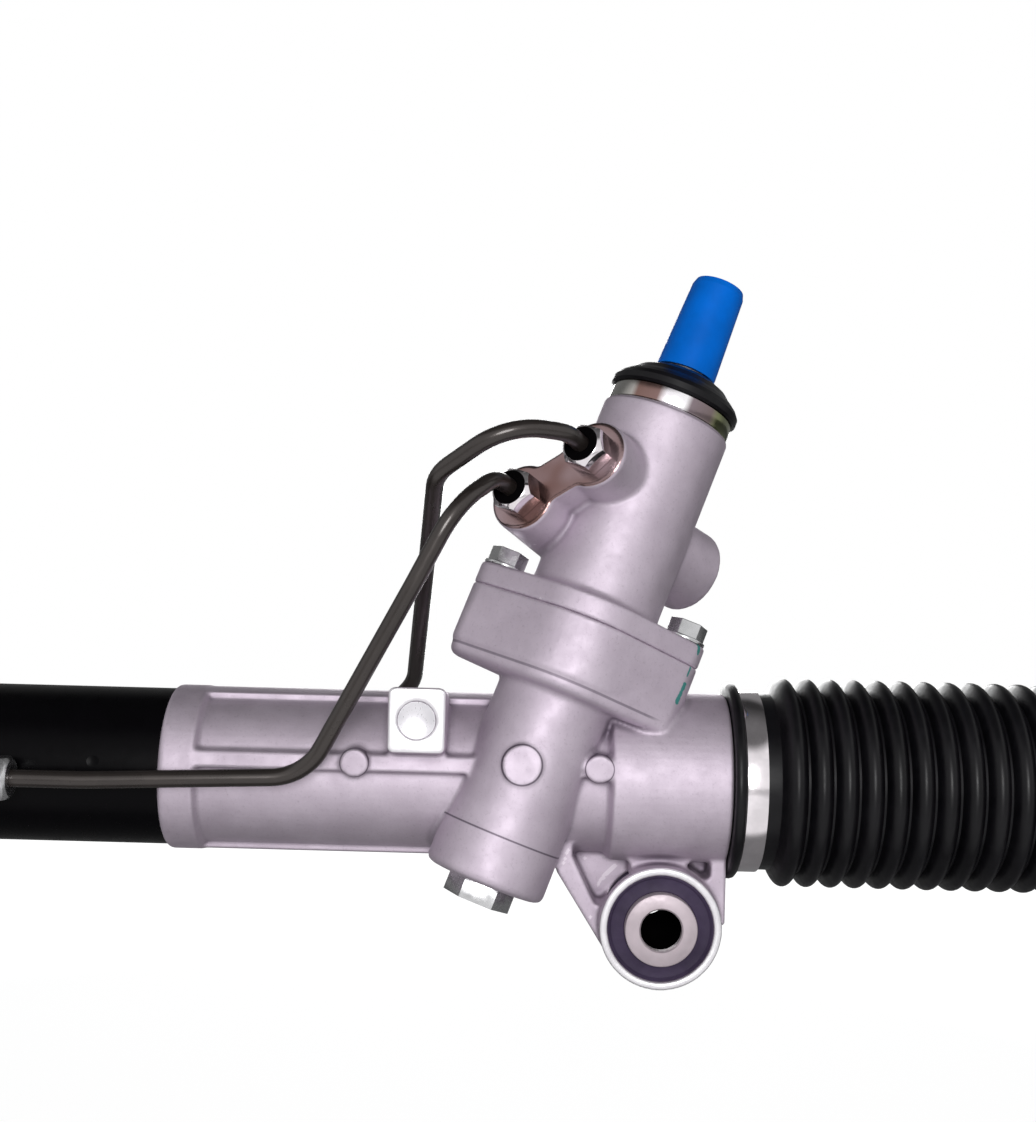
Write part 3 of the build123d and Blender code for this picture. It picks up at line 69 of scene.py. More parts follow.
# Places are given in millimetres on the drawing's axes, whose origin is where the rack line passes the pinion
# line. The row's origin is the middle of the main mounting eye, and LINE is the step between the two.
MM = 0.001
EYE_X, EYE_Z = 47.6, -48.2
LEFT_EYE_X = -300.0
LINE = Vector((-EYE_X, 0.0, -EYE_Z)) * MM
TILT = math.radians(20.5)
LEAN = Matrix.Rotation(math.radians(-9.0), 3, "X")
PINION_Y = -17.056
TOWER_U = LEAN @ Vector((math.cos(TILT), 0.0, -math.sin(TILT)))
TOWER_Y = LEAN @ Vector((0.0, 1.0, 0.0))
TOWER_S = LEAN @ Vector((math.sin(TILT), 0.0, math.cos(TILT)))


def spot(x, y, z):
    """A place given in millimetres on the drawing's axes, in the row's frame."""
    return LINE + Vector((x, y, z)) * MM


def tower_spot(u, y, s):
    """A place given in millimetres on the pinion line's own axes, in the row's frame."""
    return LINE + (TOWER_U * u + TOWER_Y * (y + PINION_Y) + TOWER_S * s) * MM


# ---------------------------------------------------------------- materials


class Shader:
    """A small helper that builds one node material."""

    def __init__(self, name):
        self.material = bpy.data.materials.new(name)
        self.material.use_nodes = True
        self.tree = self.material.node_tree
        self.bsdf = self.tree.nodes["Principled BSDF"]
        self.coords = self.node("ShaderNodeTexCoord").outputs["Object"]

    def node(self, kind, **values):
        made = self.tree.nodes.new(kind)
        for key, value in values.items():
            setattr(made, key, value)
        return made

    def link(self, start, end):
        self.tree.links.new(start, end)

    def noise(self, scale, detail=2.0, rough=0.5, stretch=None):
        """Noise on the object's own coordinates, with scale in cells per metre."""
        made = self.node("ShaderNodeTexNoise")
        made.inputs["Scale"].default_value = scale
        made.inputs["Detail"].default_value = detail
        made.inputs["Roughness"].default_value = rough
        source = self.coords
        if stretch:
            mapping = self.node("ShaderNodeMapping")
            mapping.inputs["Scale"].default_value = stretch
            self.link(source, mapping.inputs["Vector"])
            source = mapping.outputs["Vector"]
        self.link(source, made.inputs["Vector"])
        return made.outputs["Fac"]

    def ramp(self, source, *stops):
        made = self.node("ShaderNodeValToRGB")
        ramp = made.color_ramp
        while len(ramp.elements) < len(stops):
            ramp.elements.new(0.5)
        for element, (place, colour) in zip(ramp.elements, stops):
            element.position = place
            element.color = (*colour, 1.0) if len(colour) == 3 else colour
        self.link(source, made.inputs["Fac"])
        return made.outputs["Color"]

    def span(self, source, low, high, to_low, to_high):
        """Maps a value from one span to another, clamped."""
        made = self.node("ShaderNodeMapRange")
        for key, value in zip(("From Min", "From Max", "To Min", "To Max"), (low, high, to_low, to_high)):
            made.inputs[key].default_value = value
        self.link(source, made.inputs["Value"])
        return made.outputs["Result"]

    def mix(self, factor, a, b, kind="MIX"):
        made = self.node("ShaderNodeMix", data_type="RGBA", blend_type=kind)
        for key, value in ((0, factor), (6, a), (7, b)):
            if isinstance(value, (int, float)):
                made.inputs[key].default_value = value
            elif isinstance(value, tuple):
                made.inputs[key].default_value = (*value, 1.0)
            else:
                self.link(value, made.inputs[key])
        return made.outputs[2]

    def math(self, kind, a, b=None, clamp=False):
        made = self.node("ShaderNodeMath", operation=kind, use_clamp=clamp)
        for slot, value in enumerate((a, b)):
            if isinstance(value, (int, float)):
                made.inputs[slot].default_value = value
            elif value is not None:
                self.link(value, made.inputs[slot])
        return made.outputs[0]

    def set(self, **values):
        """Constants or links for the surface shader's own sockets."""
        for key, value in values.items():
            socket = self.bsdf.inputs[key.replace("_", " ")]
            if isinstance(value, (int, float)):
                socket.default_value = value
            elif isinstance(value, tuple):
                socket.default_value = (*value, 1.0)
            else:
                self.link(value, socket)
        return self

    def along(self, origin, direction):
        """How far a place lies along a direction from an origin, in millimetres."""
        shift = self.node("ShaderNodeVectorMath", operation="SUBTRACT")
        shift.inputs[1].default_value = origin
        self.link(self.coords, shift.inputs[0])
        dot = self.node("ShaderNodeVectorMath", operation="DOT_PRODUCT")
        dot.inputs[1].default_value = Vector(direction) / MM
        self.link(shift.outputs[0], dot.inputs[0])
        return dot.outputs["Value"]

    def ring(self, a, b, centre_a=0.0, centre_b=0.0):
        """Distance from a centre in the plane of two measures."""
        a = self.math("SUBTRACT", a, centre_a)
        b = self.math("SUBTRACT", b, centre_b)
        squares = self.math("ADD", self.math("MULTIPLY", a, a), self.math("MULTIPLY", b, b))
        return self.math("SQRT", squares)

    def window(self, value, low, high, soft=0.12):
        """One where a value lies between two ends, with soft ends."""
        rise = self.span(value, low - soft, low + soft, 0.0, 1.0)
        fall = self.span(value, high - soft, high + soft, 1.0, 0.0)
        return self.math("MULTIPLY", rise, fall)

    def both(self, *values):
        """Product of several masks."""
        whole = values[0]
        for value in values[1:]:
            whole = self.math("MULTIPLY", whole, value)
        return whole

    def any(self, *values):
        """Largest of several masks."""
        whole = values[0]
        for value in values[1:]:
            whole = self.math("MAXIMUM", whole, value)
        return whole

    def stroke(self, start, end, radius):
        """One close to a short line between two places, with a ragged edge."""
        line = Vector(end) - Vector(start)
        share = self.math("DIVIDE", self.along(start, line.normalized()), line.length / MM, clamp=True)
        sides = []
        for axis in range(3):
            unit = [0.0, 0.0, 0.0]
            unit[axis] = 1.0
            gone = self.math("MULTIPLY", share, line[axis] / MM)
            sides.append(self.math("SUBTRACT", self.along(start, unit), gone))
        squares = [self.math("MULTIPLY", side, side) for side in sides]
        away = self.math("SQRT", self.math("ADD", self.math("ADD", squares[0], squares[1]), squares[2]))
        ragged = self.math("MULTIPLY", self.math("SUBTRACT", self.noise(500.0, 3.0, 0.7), 0.5), radius * 1.6)
        return self.span(self.math("ADD", away, ragged), radius * 0.75, radius, 1.0, 0.0)

    def bump(self, height, strength, distance, under=None):
        made = self.node("ShaderNodeBump")
        made.inputs["Strength"].default_value = strength
        made.inputs["Distance"].default_value = distance
        self.link(height, made.inputs["Height"])
        if under is not None:
            self.link(under, made.inputs["Normal"])
        self.link(made.outputs["Normal"], self.bsdf.inputs["Normal"])
        return made.outputs["Normal"]


# Colour of the painted shade in the castings' hollows and corners.
PAINTED_HOLLOW_SHADE = (0.13, 0.10, 0.14)


def casting_with_painted_shade(s):
    """Grain and mottling of a blasted die casting, with painted shade in its hollows and corners and a lighter
    colour along sharp outer edges.
    """
    mottle = s.noise(60.0, 4.0, 0.62)
    colour = s.ramp(mottle, (0.3, (0.51, 0.44, 0.515)), (0.7, (0.61, 0.535, 0.615)))
    specks = s.ramp(s.noise(900.0, 4.0, 0.8), (0.30, (0.70, 0.68, 0.70)), (0.44, (1.0, 1.0, 1.0)))
    colour = s.mix(0.6, colour, specks, "MULTIPLY")
    edge = s.node("ShaderNodeNewGeometry").outputs["Pointiness"]
    colour = s.mix(s.span(edge, 0.525, 0.58, 0.0, 0.6), colour, (0.80, 0.74, 0.80))
    # Painted shade: darker in hollow corners, from the mesh's pointiness.
    colour = s.mix(s.span(edge, 0.488, 0.445, 0.0, 0.7), colour, PAINTED_HOLLOW_SHADE)
    # Painted shade: darker where the surface is enclosed, from ambient occlusion.
    shade = s.node("ShaderNodeAmbientOcclusion", samples=8, only_local=True)
    shade.inputs["Distance"].default_value = 0.0045
    return s.mix(s.span(shade.outputs["AO"], 0.86, 0.42, 0.0, 0.8), colour, PAINTED_HOLLOW_SHADE)


def cast_aluminium(name, shade_lines, faces, strokes, shine=None):
    """Blasted casting. Shade lines are painted shade in seams, grooves and creases, faces are milled, shine is
    milled faces with a brown painted reflection, and strokes are paint marks.
    """
    s = Shader(name)
    colour = casting_with_painted_shade(s)
    shade_lines = s.any(*shade_lines(s))
    # Painted shade: dark lines where seams, grooves and creases would hold shade.
    colour = s.mix(s.math("MULTIPLY", shade_lines, 0.75), colour, (0.07, 0.05, 0.08))
    faces = s.any(*faces(s))
    milled = s.ramp(s.noise(150.0, 3.0), (0.3, (0.86, 0.83, 0.87)), (0.7, (0.96, 0.94, 0.97)))
    colour = s.mix(faces, colour, milled)
    rough = s.span(s.noise(160.0, 3.0), 0.3, 0.7, 0.54, 0.64)
    rough = s.math("SUBTRACT", rough, s.math("MULTIPLY", faces, 0.26))
    metal = s.math("SUBTRACT", 0.68, s.math("MULTIPLY", faces, 0.2))
    if shine:
        face = s.any(*shine(s))
        # Painted reflection: the milled shine faces get a brown tint for what they mirror.
        painted_reflection = s.ramp(s.noise(45.0, 2.0), (0.40, (0.17, 0.095, 0.085)), (0.72, (0.34, 0.26, 0.28)))
        colour = s.mix(face, colour, painted_reflection)
        rough = s.math("SUBTRACT", rough, s.math("MULTIPLY", face, 0.42))
        metal = s.math("MAXIMUM", metal, face)
    paint = s.any(*(s.stroke(*row) for row in strokes))
    colour = s.mix(s.math("MULTIPLY", paint, 0.9), colour, (0.012, 0.27, 0.24))
    metal = s.math("SUBTRACT", metal, s.math("MULTIPLY", paint, 0.5), clamp=True)
    s.set(Base_Color=colour, Metallic=metal, Roughness=rough, Specular_IOR_Level=0.3)
    first = s.bump(s.noise(420.0, 3.0, 0.6), 0.10, 0.0006)
    s.bump(s.noise(2600.0, 2.0, 0.7), 0.22, 0.00012, first)
    return s.material


def tower_axes(s):
    """Places across, behind and along the pinion line."""
    origin = tower_spot(0, 0, 0)
    return s.along(origin, TOWER_U), s.along(origin, TOWER_Y), s.along(origin, TOWER_S)


def front_axes(s):
    """Places along the rack, behind it and above it."""
    origin = spot(0, 0, 0)
    return s.along(origin, (1, 0, 0)), s.along(origin, (0, 1, 0)), s.along(origin, (0, 0, 1))


# Ejector pads on the front of the barrel: places along the rack, and their height above it.
EJECTOR_X = (-58.6, 25.0)
EJECTOR_Z = 6.7


def housing_shade_lines(s):
    """Painted shade lines: the seam at the tower's foot, the ring round the small pad on the tower, the crease
    over the flange's lip and the rings round the ejector pads.
    """
    u, y, up = tower_axes(s)
    seam = s.both(s.window(up, -22.8, -22.2), s.window(s.ring(u, y), 0.0, 21.9))
    pad = s.both(s.window(s.ring(u, up, -2.4, 2.0), 6.5, 7.1), s.window(y, -30.0, -15.0))
    x, front, z = front_axes(s)
    beyond_tower = s.span(s.ring(u, y), 22.3, 22.8, 0.0, 1.0)
    above_barrel = s.span(z, 23.0, 25.0, 0.0, 1.0)
    crease = s.both(s.window(up, 33.2, 34.1), beyond_tower, above_barrel)
    found = [seam, pad, s.math("MULTIPLY", crease, 0.7)]
    for centre in EJECTOR_X:
        ring = s.window(s.ring(x, z, centre, EJECTOR_Z), 4.7, 5.1)
        found.append(s.both(ring, s.window(front, -40.0, -25.0)))
    return found


def housing_faces(s):
    """The milled ends of the mounting eye and the milled face of the square pad."""
    x, y, z = front_axes(s)
    eye = s.both(s.window(s.ring(x, z, EYE_X, EYE_Z), 0.0, 21.0), s.window(s.math("ABSOLUTE", y), 24.4, 40.0))
    pad = s.both(s.window(x, -47.0, -28.0), s.window(z, 11.3, 32.9), s.window(y, -40.0, -32.6))
    return [eye, pad]


def port_turn(turn):
    """Direction that a port looks in, from its turn about the pinion line."""
    turn = math.radians(turn)
    return TOWER_U * math.cos(turn) + TOWER_Y * math.sin(turn)


PIPE_PORTS = port_turn(238)


def valve_faces(s):
    """The milled top."""
    _, _, up = tower_axes(s)
    return [s.window(up, 135.6, 140.0)]


def valve_shine(s):
    """The bright milled faces of the two pipe ports in front, which get a brown painted reflection."""
    return [s.window(s.along(tower_spot(0, 0, 0), PIPE_PORTS), 36.0, 45.0)]


def valve_shade_lines(s):
    """The turned line under the bright ring, painted as a faint line of shade."""
    _, _, up = tower_axes(s)
    return [s.math("MULTIPLY", s.window(up, 134.6, 135.2), 0.5)]


def machined_aluminium():
    """A milled face: bright, with fine concentric lay."""
    s = Shader("machined_aluminium_face")
    lay = s.noise(3000.0, 2.0, 0.6, (1.0, 0.15, 0.25))
    colour = s.ramp(s.noise(120.0, 2.0), (0.3, (0.80, 0.78, 0.82)), (0.7, (0.90, 0.88, 0.92)))
    s.set(Base_Color=colour, Metallic=0.6, Roughness=s.span(lay, 0.3, 0.7, 0.26, 0.40))
    s.bump(lay, 0.12, 0.0001)
    return s.material


def plated(name, colour, metallic, rough_low, rough_high, grain=1500.0, bump=0.08):
    """Turned or plated steel with faint handling marks."""
    s = Shader(name)
    stain = s.noise(90.0, 3.0, 0.6)
    darker = tuple(c * 0.82 for c in colour)
    tone = s.ramp(stain, (0.32, darker), (0.62, colour))
    marks = s.noise(grain, 2.0, 0.6)
    s.set(Base_Color=tone, Metallic=metallic, Roughness=s.span(marks, 0.3, 0.7, rough_low, rough_high))
    s.bump(marks, bump, 0.0001)
    return s.material


def coated(name, colour, rough, peel=0.05, metallic=0.0, coat=0.0, level=0.5):
    """Paint or plastic: even colour with a slight mottling and orange peel."""
    s = Shader(name)
    darker = tuple(c * 0.8 for c in colour)
    tone = s.ramp(s.noise(70.0, 3.0), (0.3, darker), (0.7, colour))
    s.set(Base_Color=tone, Metallic=metallic, Coat_Weight=coat, Specular_IOR_Level=level)
    s.set(Roughness=s.span(s.noise(220.0, 3.0), 0.3, 0.7, rough * 0.85, rough * 1.15))
    s.bump(s.noise(1100.0, 2.0), peel, 0.0002)
    return s.material


def rubber(name, colour, rough, grain, level):
    """Moulded rubber: matt with a dusty bloom and a fine grain."""
    s = Shader(name)
    bloom = tuple(min(1.0, c * 1.9 + 0.004) for c in colour)
    tone = s.ramp(s.noise(55.0, 4.0, 0.65), (0.35, colour), (0.75, bloom))
    s.set(Base_Color=tone, Roughness=s.span(s.noise(300.0, 3.0), 0.3, 0.7, rough - 0.06, rough + 0.08))
    s.set(Specular_IOR_Level=level)
    s.bump(s.noise(1800.0, 3.0, 0.7), grain, 0.00015)
    return s.material


# Paint pen's marks on the flange: both ends in metres in the row's frame, and the radius in millimetres.
PAINT_LOW = [
    ((0.0068, -0.0177, 0.0835), (0.0040, -0.0191, 0.0774), 0.95),
    ((0.0092, -0.0168, 0.0905), (0.0077, -0.0176, 0.0865), 0.45),
]
PAINT_TOP = [((0.0112, -0.0150, 0.1000), (0.0118, -0.0156, 0.0944), 0.95)]
MATERIALS = {
    "cast_aluminium": cast_aluminium("cast_aluminium_blasted", housing_shade_lines, housing_faces, PAINT_LOW),
    "machined_aluminium": machined_aluminium(),
    "black_paint": coated("black_paint_gloss", (0.0025, 0.0022, 0.003), 0.30, peel=0.03, level=0.05),
    "steel": plated("machined_steel", (0.44, 0.42, 0.43), 1.0, 0.34, 0.50),
    "zinc_plate": plated("zinc_plated_steel", (0.58, 0.58, 0.59), 0.95, 0.20, 0.30, grain=500.0, bump=0.03),
    "bright_steel": plated("bright_plated_steel", (0.84, 0.79, 0.82), 1.0, 0.10, 0.18, grain=2200.0, bump=0.03),
    "sleeve_steel": plated("dull_zinc_sleeve", (0.56, 0.48, 0.52), 0.45, 0.42, 0.55, grain=700.0, bump=0.12),
    "black_rubber": rubber("boot_rubber", (0.0022, 0.0019, 0.003), 0.36, grain=0.03, level=0.2),
    "bush_rubber": rubber("bush_rubber", (0.040, 0.028, 0.058), 0.55, grain=0.15, level=0.2),
    "plastic_liner": coated("liner_plastic", (0.72, 0.68, 0.58), 0.45),
    "brown_pipe": coated("pipe_brown_coating", (0.042, 0.033, 0.030), 0.30, peel=0.03, metallic=0.45, coat=0.3),
    "tie_rod_coat": coated("tie_rod_black", (0.018, 0.017, 0.018), 0.4, peel=0.12, metallic=0.2),
    "blue_plastic": coated("cap_blue", (0.0, 0.22, 1.0), 0.5, peel=0.03, level=0.12),
}


def ring_with_painted_reflections():
    """The bright ring under the dust cover, with painted reflections across it from left to right: grey, brown, a
    white highlight, dark grey and olive.
    """
    s = Shader("top_ring_plated")
    u, _, _ = tower_axes(s)
    # Painted reflection and highlight: the colour changes across the ring.
    tone = s.ramp(
        s.span(u, -22.6, 22.6, 0.0, 1.0),
        (0.0, (0.42, 0.42, 0.40)), (0.16, (0.42, 0.40, 0.38)),
        (0.20, (0.20, 0.12, 0.105)), (0.36, (0.24, 0.15, 0.14)),
        (0.42, (0.90, 0.86, 0.90)), (0.58, (0.92, 0.90, 0.92)),
        (0.63, (0.24, 0.19, 0.21)), (0.80, (0.17, 0.13, 0.13)),
        (0.86, (0.24, 0.26, 0.13)), (1.0, (0.36, 0.38, 0.26)),
    )
    grain = s.noise(600.0, 2.0)
    s.set(Base_Color=tone, Metallic=1.0, Roughness=s.span(grain, 0.3, 0.7, 0.14, 0.24))
    return s.material


SLOT_OF = {row["node"]: row["material_slot"] for row in frame["record"]["subparts"]}


def dress(piece, slot, *extra):
    """Gives a new piece its slot's material, followed by any extra materials."""
    piece.data.materials.clear()
    for material in (MATERIALS[slot], *extra):
        piece.data.materials.append(material)
    return piece


for node, item in NODES.items():
    for slot in item.material_slots:
        slot.material = MATERIALS[SLOT_OF[node]]


# ---------------------------------------------------------------- mesh helpers


def add_object(name, mesh):
    item = bpy.data.objects.new(name, mesh)
    bpy.context.scene.collection.objects.link(item)
    return item


def smooth(mesh, angle=None):
    """Smooth shading, kept sharp at edges that turn by more than an angle in degrees."""
    mesh.polygons.foreach_set("use_smooth", [True] * len(mesh.polygons))
    if angle is not None:
        mesh.set_sharp_from_angle(angle=math.radians(angle))


def mesh_arrays(mesh):
    """Vertices and triangles of a mesh."""
    mesh.calc_loop_triangles()
    points = np.empty(len(mesh.vertices) * 3, np.float32)
    mesh.vertices.foreach_get("co", points)
    triangles = np.empty(len(mesh.loop_triangles) * 3, np.int32)
    mesh.loop_triangles.foreach_get("vertices", triangles)
    return points.reshape(-1, 3), triangles.reshape(-1, 3)


# Width of a cell of the castings' distance fields, and the rounding of their outer edges.
CELL = 0.5 * MM
CAST_EDGE = 0.4 * MM


def level_set(points, faces, reach):
    """A signed distance field of a closed surface. Lengths are counted in cells while it is made."""
    args = {"quads": faces} if faces.shape[1] == 4 else {"triangles": faces}
    return openvdb.FloatGrid.createLevelSetFromPolygons(points / CELL, halfWidth=reach / CELL + 2.0, **args)


def cast_piece(name, node, fillet, extras=()):
    """A casting from a CAD node. Growing and shrinking it fills hollow corners and rounds outer edges."""
    points, faces = carved(node) if extras else mesh_arrays(NODES[node].data)
    for more_points, more_faces in extras:
        faces = np.concatenate((faces, more_faces + len(points)))
        points = np.concatenate((points, more_points))
    for grow in (fillet, -(fillet + CAST_EDGE), CAST_EDGE):
        field = level_set(points, faces, abs(grow))
        points, faces = field.convertToQuads(grow / CELL)
        points = points * CELL
    mesh = bpy.data.meshes.new(name)
    mesh.from_pydata(points.tolist(), [], faces.tolist())
    mesh.update()
    mesh.flip_normals()
    smooth(mesh)
    piece = add_object(name, mesh)
    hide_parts(node)
    return piece


def refine(node, width, body):
    """A copy of a CAD node with its edges rounded, which stands for it."""
    bm = bmesh.new()
    bm.from_mesh(NODES[node].data)
    bmesh.ops.remove_doubles(bm, verts=bm.verts, dist=2e-6)
    bmesh.ops.dissolve_limit(bm, angle_limit=math.radians(0.6), verts=bm.verts, edges=bm.edges)
    sharp = [e for e in bm.edges if len(e.link_faces) == 2 and e.calc_face_angle(0.0) > math.radians(28)]
    bmesh.ops.bevel(
        bm, geom=sharp, offset=width, offset_type="OFFSET", segments=2, profile=0.5, affect="EDGES",
        clamp_overlap=True,
    )
    mesh = bpy.data.meshes.new(node + "_finished")
    bm.to_mesh(mesh)
    bm.free()
    smooth(mesh, 32)
    piece = add_object(mesh.name, mesh)
    dress(piece, SLOT_OF[node])
    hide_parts(node)
    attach(piece, body)
    return piece


def turned(name, profile, origin, axis, side, count=96):
    """A closed piece turned about a line, from places along it and radii in millimetres."""
    axis = Vector(axis).normalized()
    side = Vector(side).normalized()
    other = axis.cross(side)
    rows = []
    for along, radius in profile:
        for step in range(count):
            turn = 2 * math.pi * step / count
            out = side * math.cos(turn) + other * math.sin(turn)
            rows.append(origin + (axis * along + out * radius) * MM)
    faces = []
    for ring in range(len(profile)):
        start = ring * count
        end = (ring + 1) % len(profile) * count
        for step in range(count):
            turn = (step + 1) % count
            faces.append((start + step, start + turn, end + turn, end + step))
    mesh = bpy.data.meshes.new(name)
    mesh.from_pydata(rows, [], faces)
    bm = bmesh.new()
    bm.from_mesh(mesh)
    bmesh.ops.recalc_face_normals(bm, faces=bm.faces)
    bm.to_mesh(mesh)
    bm.free()
    return add_object(name, mesh)


# ---------------------------------------------------------------- castings


FLANGE_RADIUS = 27.0
LUG_PLACE, LUG_RADIUS = 34.1, 8.2
LIP_TOP, LIP_FOOT = 45.5, 29.2
LIP_POINTS = 120


def flange_ring(s, inset, push):
    """The two-bolt flange's outline at one height, drawn in by an inset, with its right lug pushed forward."""
    rounds = ((0.0, 0.0, FLANGE_RADIUS), (-LUG_PLACE, 0.0, LUG_RADIUS), (LUG_PLACE, -push, LUG_RADIUS))
    ring = []
    for step in range(LIP_POINTS):
        turn = 2 * math.pi * step / LIP_POINTS
        across, behind = math.cos(turn), math.sin(turn)
        _, u, y, radius = max((u * across + y * behind + r, u, y, r) for u, y, r in rounds)
        reach = radius - inset
        ring.append(tower_spot(u + reach * across, y + reach * behind, s))
    return ring


def flange_lip():
    """The rounded lip under the flange, as a closed mesh that runs up into it."""
    levels = (
        (LIP_TOP, 1.6, 0.0), (41.0, 0.9, 1.8), (37.0, 0.9, 2.9), (33.6, 0.9, 3.6), (32.0, 0.9, 3.9),
        (30.6, 1.5, 4.0), (29.6, 2.7, 4.0), (LIP_FOOT, 4.4, 4.0),
    )
    rings = [flange_ring(*level) for level in levels]
    count = LIP_POINTS
    points = [point for ring in rings for point in ring]
    points += [tower_spot(0, 0, LIP_TOP), tower_spot(0, 0, LIP_FOOT)]
    faces = []
    for step in range(count):
        follow = (step + 1) % count
        for level in range(len(rings) - 1):
            a, b = level * count, (level + 1) * count
            faces += [(a + step, a + follow, b + follow), (a + step, b + follow, b + step)]
        last = (len(rings) - 1) * count
        faces += [(len(points) - 2, follow, step), (len(points) - 1, last + step, last + follow)]
    return np.array(points, np.float32), np.array(faces, np.int32)


RIB_OUT, RIB_IN = 28.75, 24.0
RIB_TURN = 17


def side_rib(way):
    """The wide rib on top of (1) or under (-1) the barrel, as a closed mesh."""
    section = [(RIB_OUT, turn) for turn in range(-RIB_TURN, RIB_TURN + 1, 2)]
    section += [(RIB_IN, turn) for turn in range(RIB_TURN, -RIB_TURN - 1, -2)]
    points = []
    for x in (-122.0, -18.0 if way < 0 else -2.0):
        for radius, turn in section:
            turn = math.radians(turn)
            points.append(spot(x, radius * math.sin(turn), way * radius * math.cos(turn)))
    count = len(section)
    half = count // 2
    faces = []
    for step in range(count):
        follow = (step + 1) % count
        faces += [(step, follow, count + follow), (step, count + follow, count + step)]
    for step in range(half - 1):
        a, b, c, d = step, step + 1, count - 2 - step, count - 1 - step
        for start in (0, count):
            faces += [(start + a, start + b, start + c), (start + a, start + c, start + d)]
    return np.array(points, np.float32), np.array(faces, np.int32)


# Front pockets of the web between barrel and eye: places along the rack and above it, and how far they reach.
POCKETS = (
    ((17.8, -27.0), (24.4, -40.4), (25.6, -42.0), (27.2, -42.4), (29.0, -41.6), (37.2, -32.6), (37.2, -27.0)),
    ((54.5, -27.0), (57.0, -28.6), (60.0, -30.4), (62.4, -32.4), (64.2, -32.6), (65.2, -31.2), (65.2, -27.0)),
)
POCKET_FRONT, POCKET_BACK = -20.0, -5.0


def carved(node):
    """A CAD node's mesh with the web's front pockets cut out of it."""
    bm = bmesh.new()
    bm.from_mesh(NODES[node].data)
    bmesh.ops.remove_doubles(bm, verts=bm.verts, dist=2e-6)
    mesh = bpy.data.meshes.new("casting_blank")
    bm.to_mesh(mesh)
    bm.free()
    blank = add_object("casting_blank", mesh)
    made = [blank]
    for index, outline in enumerate(POCKETS):
        count = len(outline)
        rows = [spot(x, y, z) for y in (POCKET_FRONT, POCKET_BACK) for x, z in outline]
        sides = [(i, (i + 1) % count, count + (i + 1) % count, count + i) for i in range(count)]
        shape = bpy.data.meshes.new("pocket")
        ends = [tuple(range(count))[::-1], tuple(range(count, 2 * count))]
        shape.from_pydata(rows, [], ends + sides)
        bm = bmesh.new()
        bm.from_mesh(shape)
        bmesh.ops.recalc_face_normals(bm, faces=bm.faces)
        bm.to_mesh(shape)
        bm.free()
        cutter = add_object("pocket_%d" % index, shape)
        made.append(cutter)
        tool = blank.modifiers.new(cutter.name, "BOOLEAN")
        tool.operation, tool.solver, tool.object = "DIFFERENCE", "EXACT", cutter
    graph = bpy.context.evaluated_depsgraph_get()
    whole = bpy.data.meshes.new_from_object(blank.evaluated_get(graph))
    arrays = mesh_arrays(whole)
    for item in made:
        bpy.data.objects.remove(item, do_unlink=True)
    return arrays


housing = cast_piece("housing_casting", "rack_housing", 0.8 * MM, [flange_lip(), side_rib(1), side_rib(-1)])
dress(housing, "cast_aluminium")
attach(housing, "housing")
valve = cast_piece("valve_housing_casting", "valve_housing", 1.0 * MM)
dress(valve, "cast_aluminium")
valve.data.materials[0] = cast_aluminium("cast_aluminium_valve", valve_shade_lines, valve_faces, PAINT_TOP, valve_shine)
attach(valve, "housing")

# ---------------------------------------------------------------- boots

# A boot's radii and lengths in millimetres, and how many folds it has and how many of them taper.
BOOT = {
    "bead": 34.7, "bead_length": 4.0, "groove": 31.3, "groove_length": 7.4, "crest": 37.0, "pitch": 8.565,
    "folds": 20, "taper": 7, "end_crest": 21.0, "depth": 5.6, "wall": 1.6, "cuff": 11.2, "cuff_length": 12.0,
    "shoulder": 9.3, "rod": 7.8,
}
# Distance from the large end where a boot's two stretches meet, and points per fold.
BOOT_SPLIT = 134.4
FOLD_STEPS = 12


def fold_crest(fold):
    """Crest radius of a fold, counted from the large end."""
    straight = BOOT["folds"] - BOOT["taper"]
    if fold < straight:
        return BOOT["crest"]
    return BOOT["crest"] + (BOOT["end_crest"] - BOOT["crest"]) * (fold - straight + 1) / BOOT["taper"]


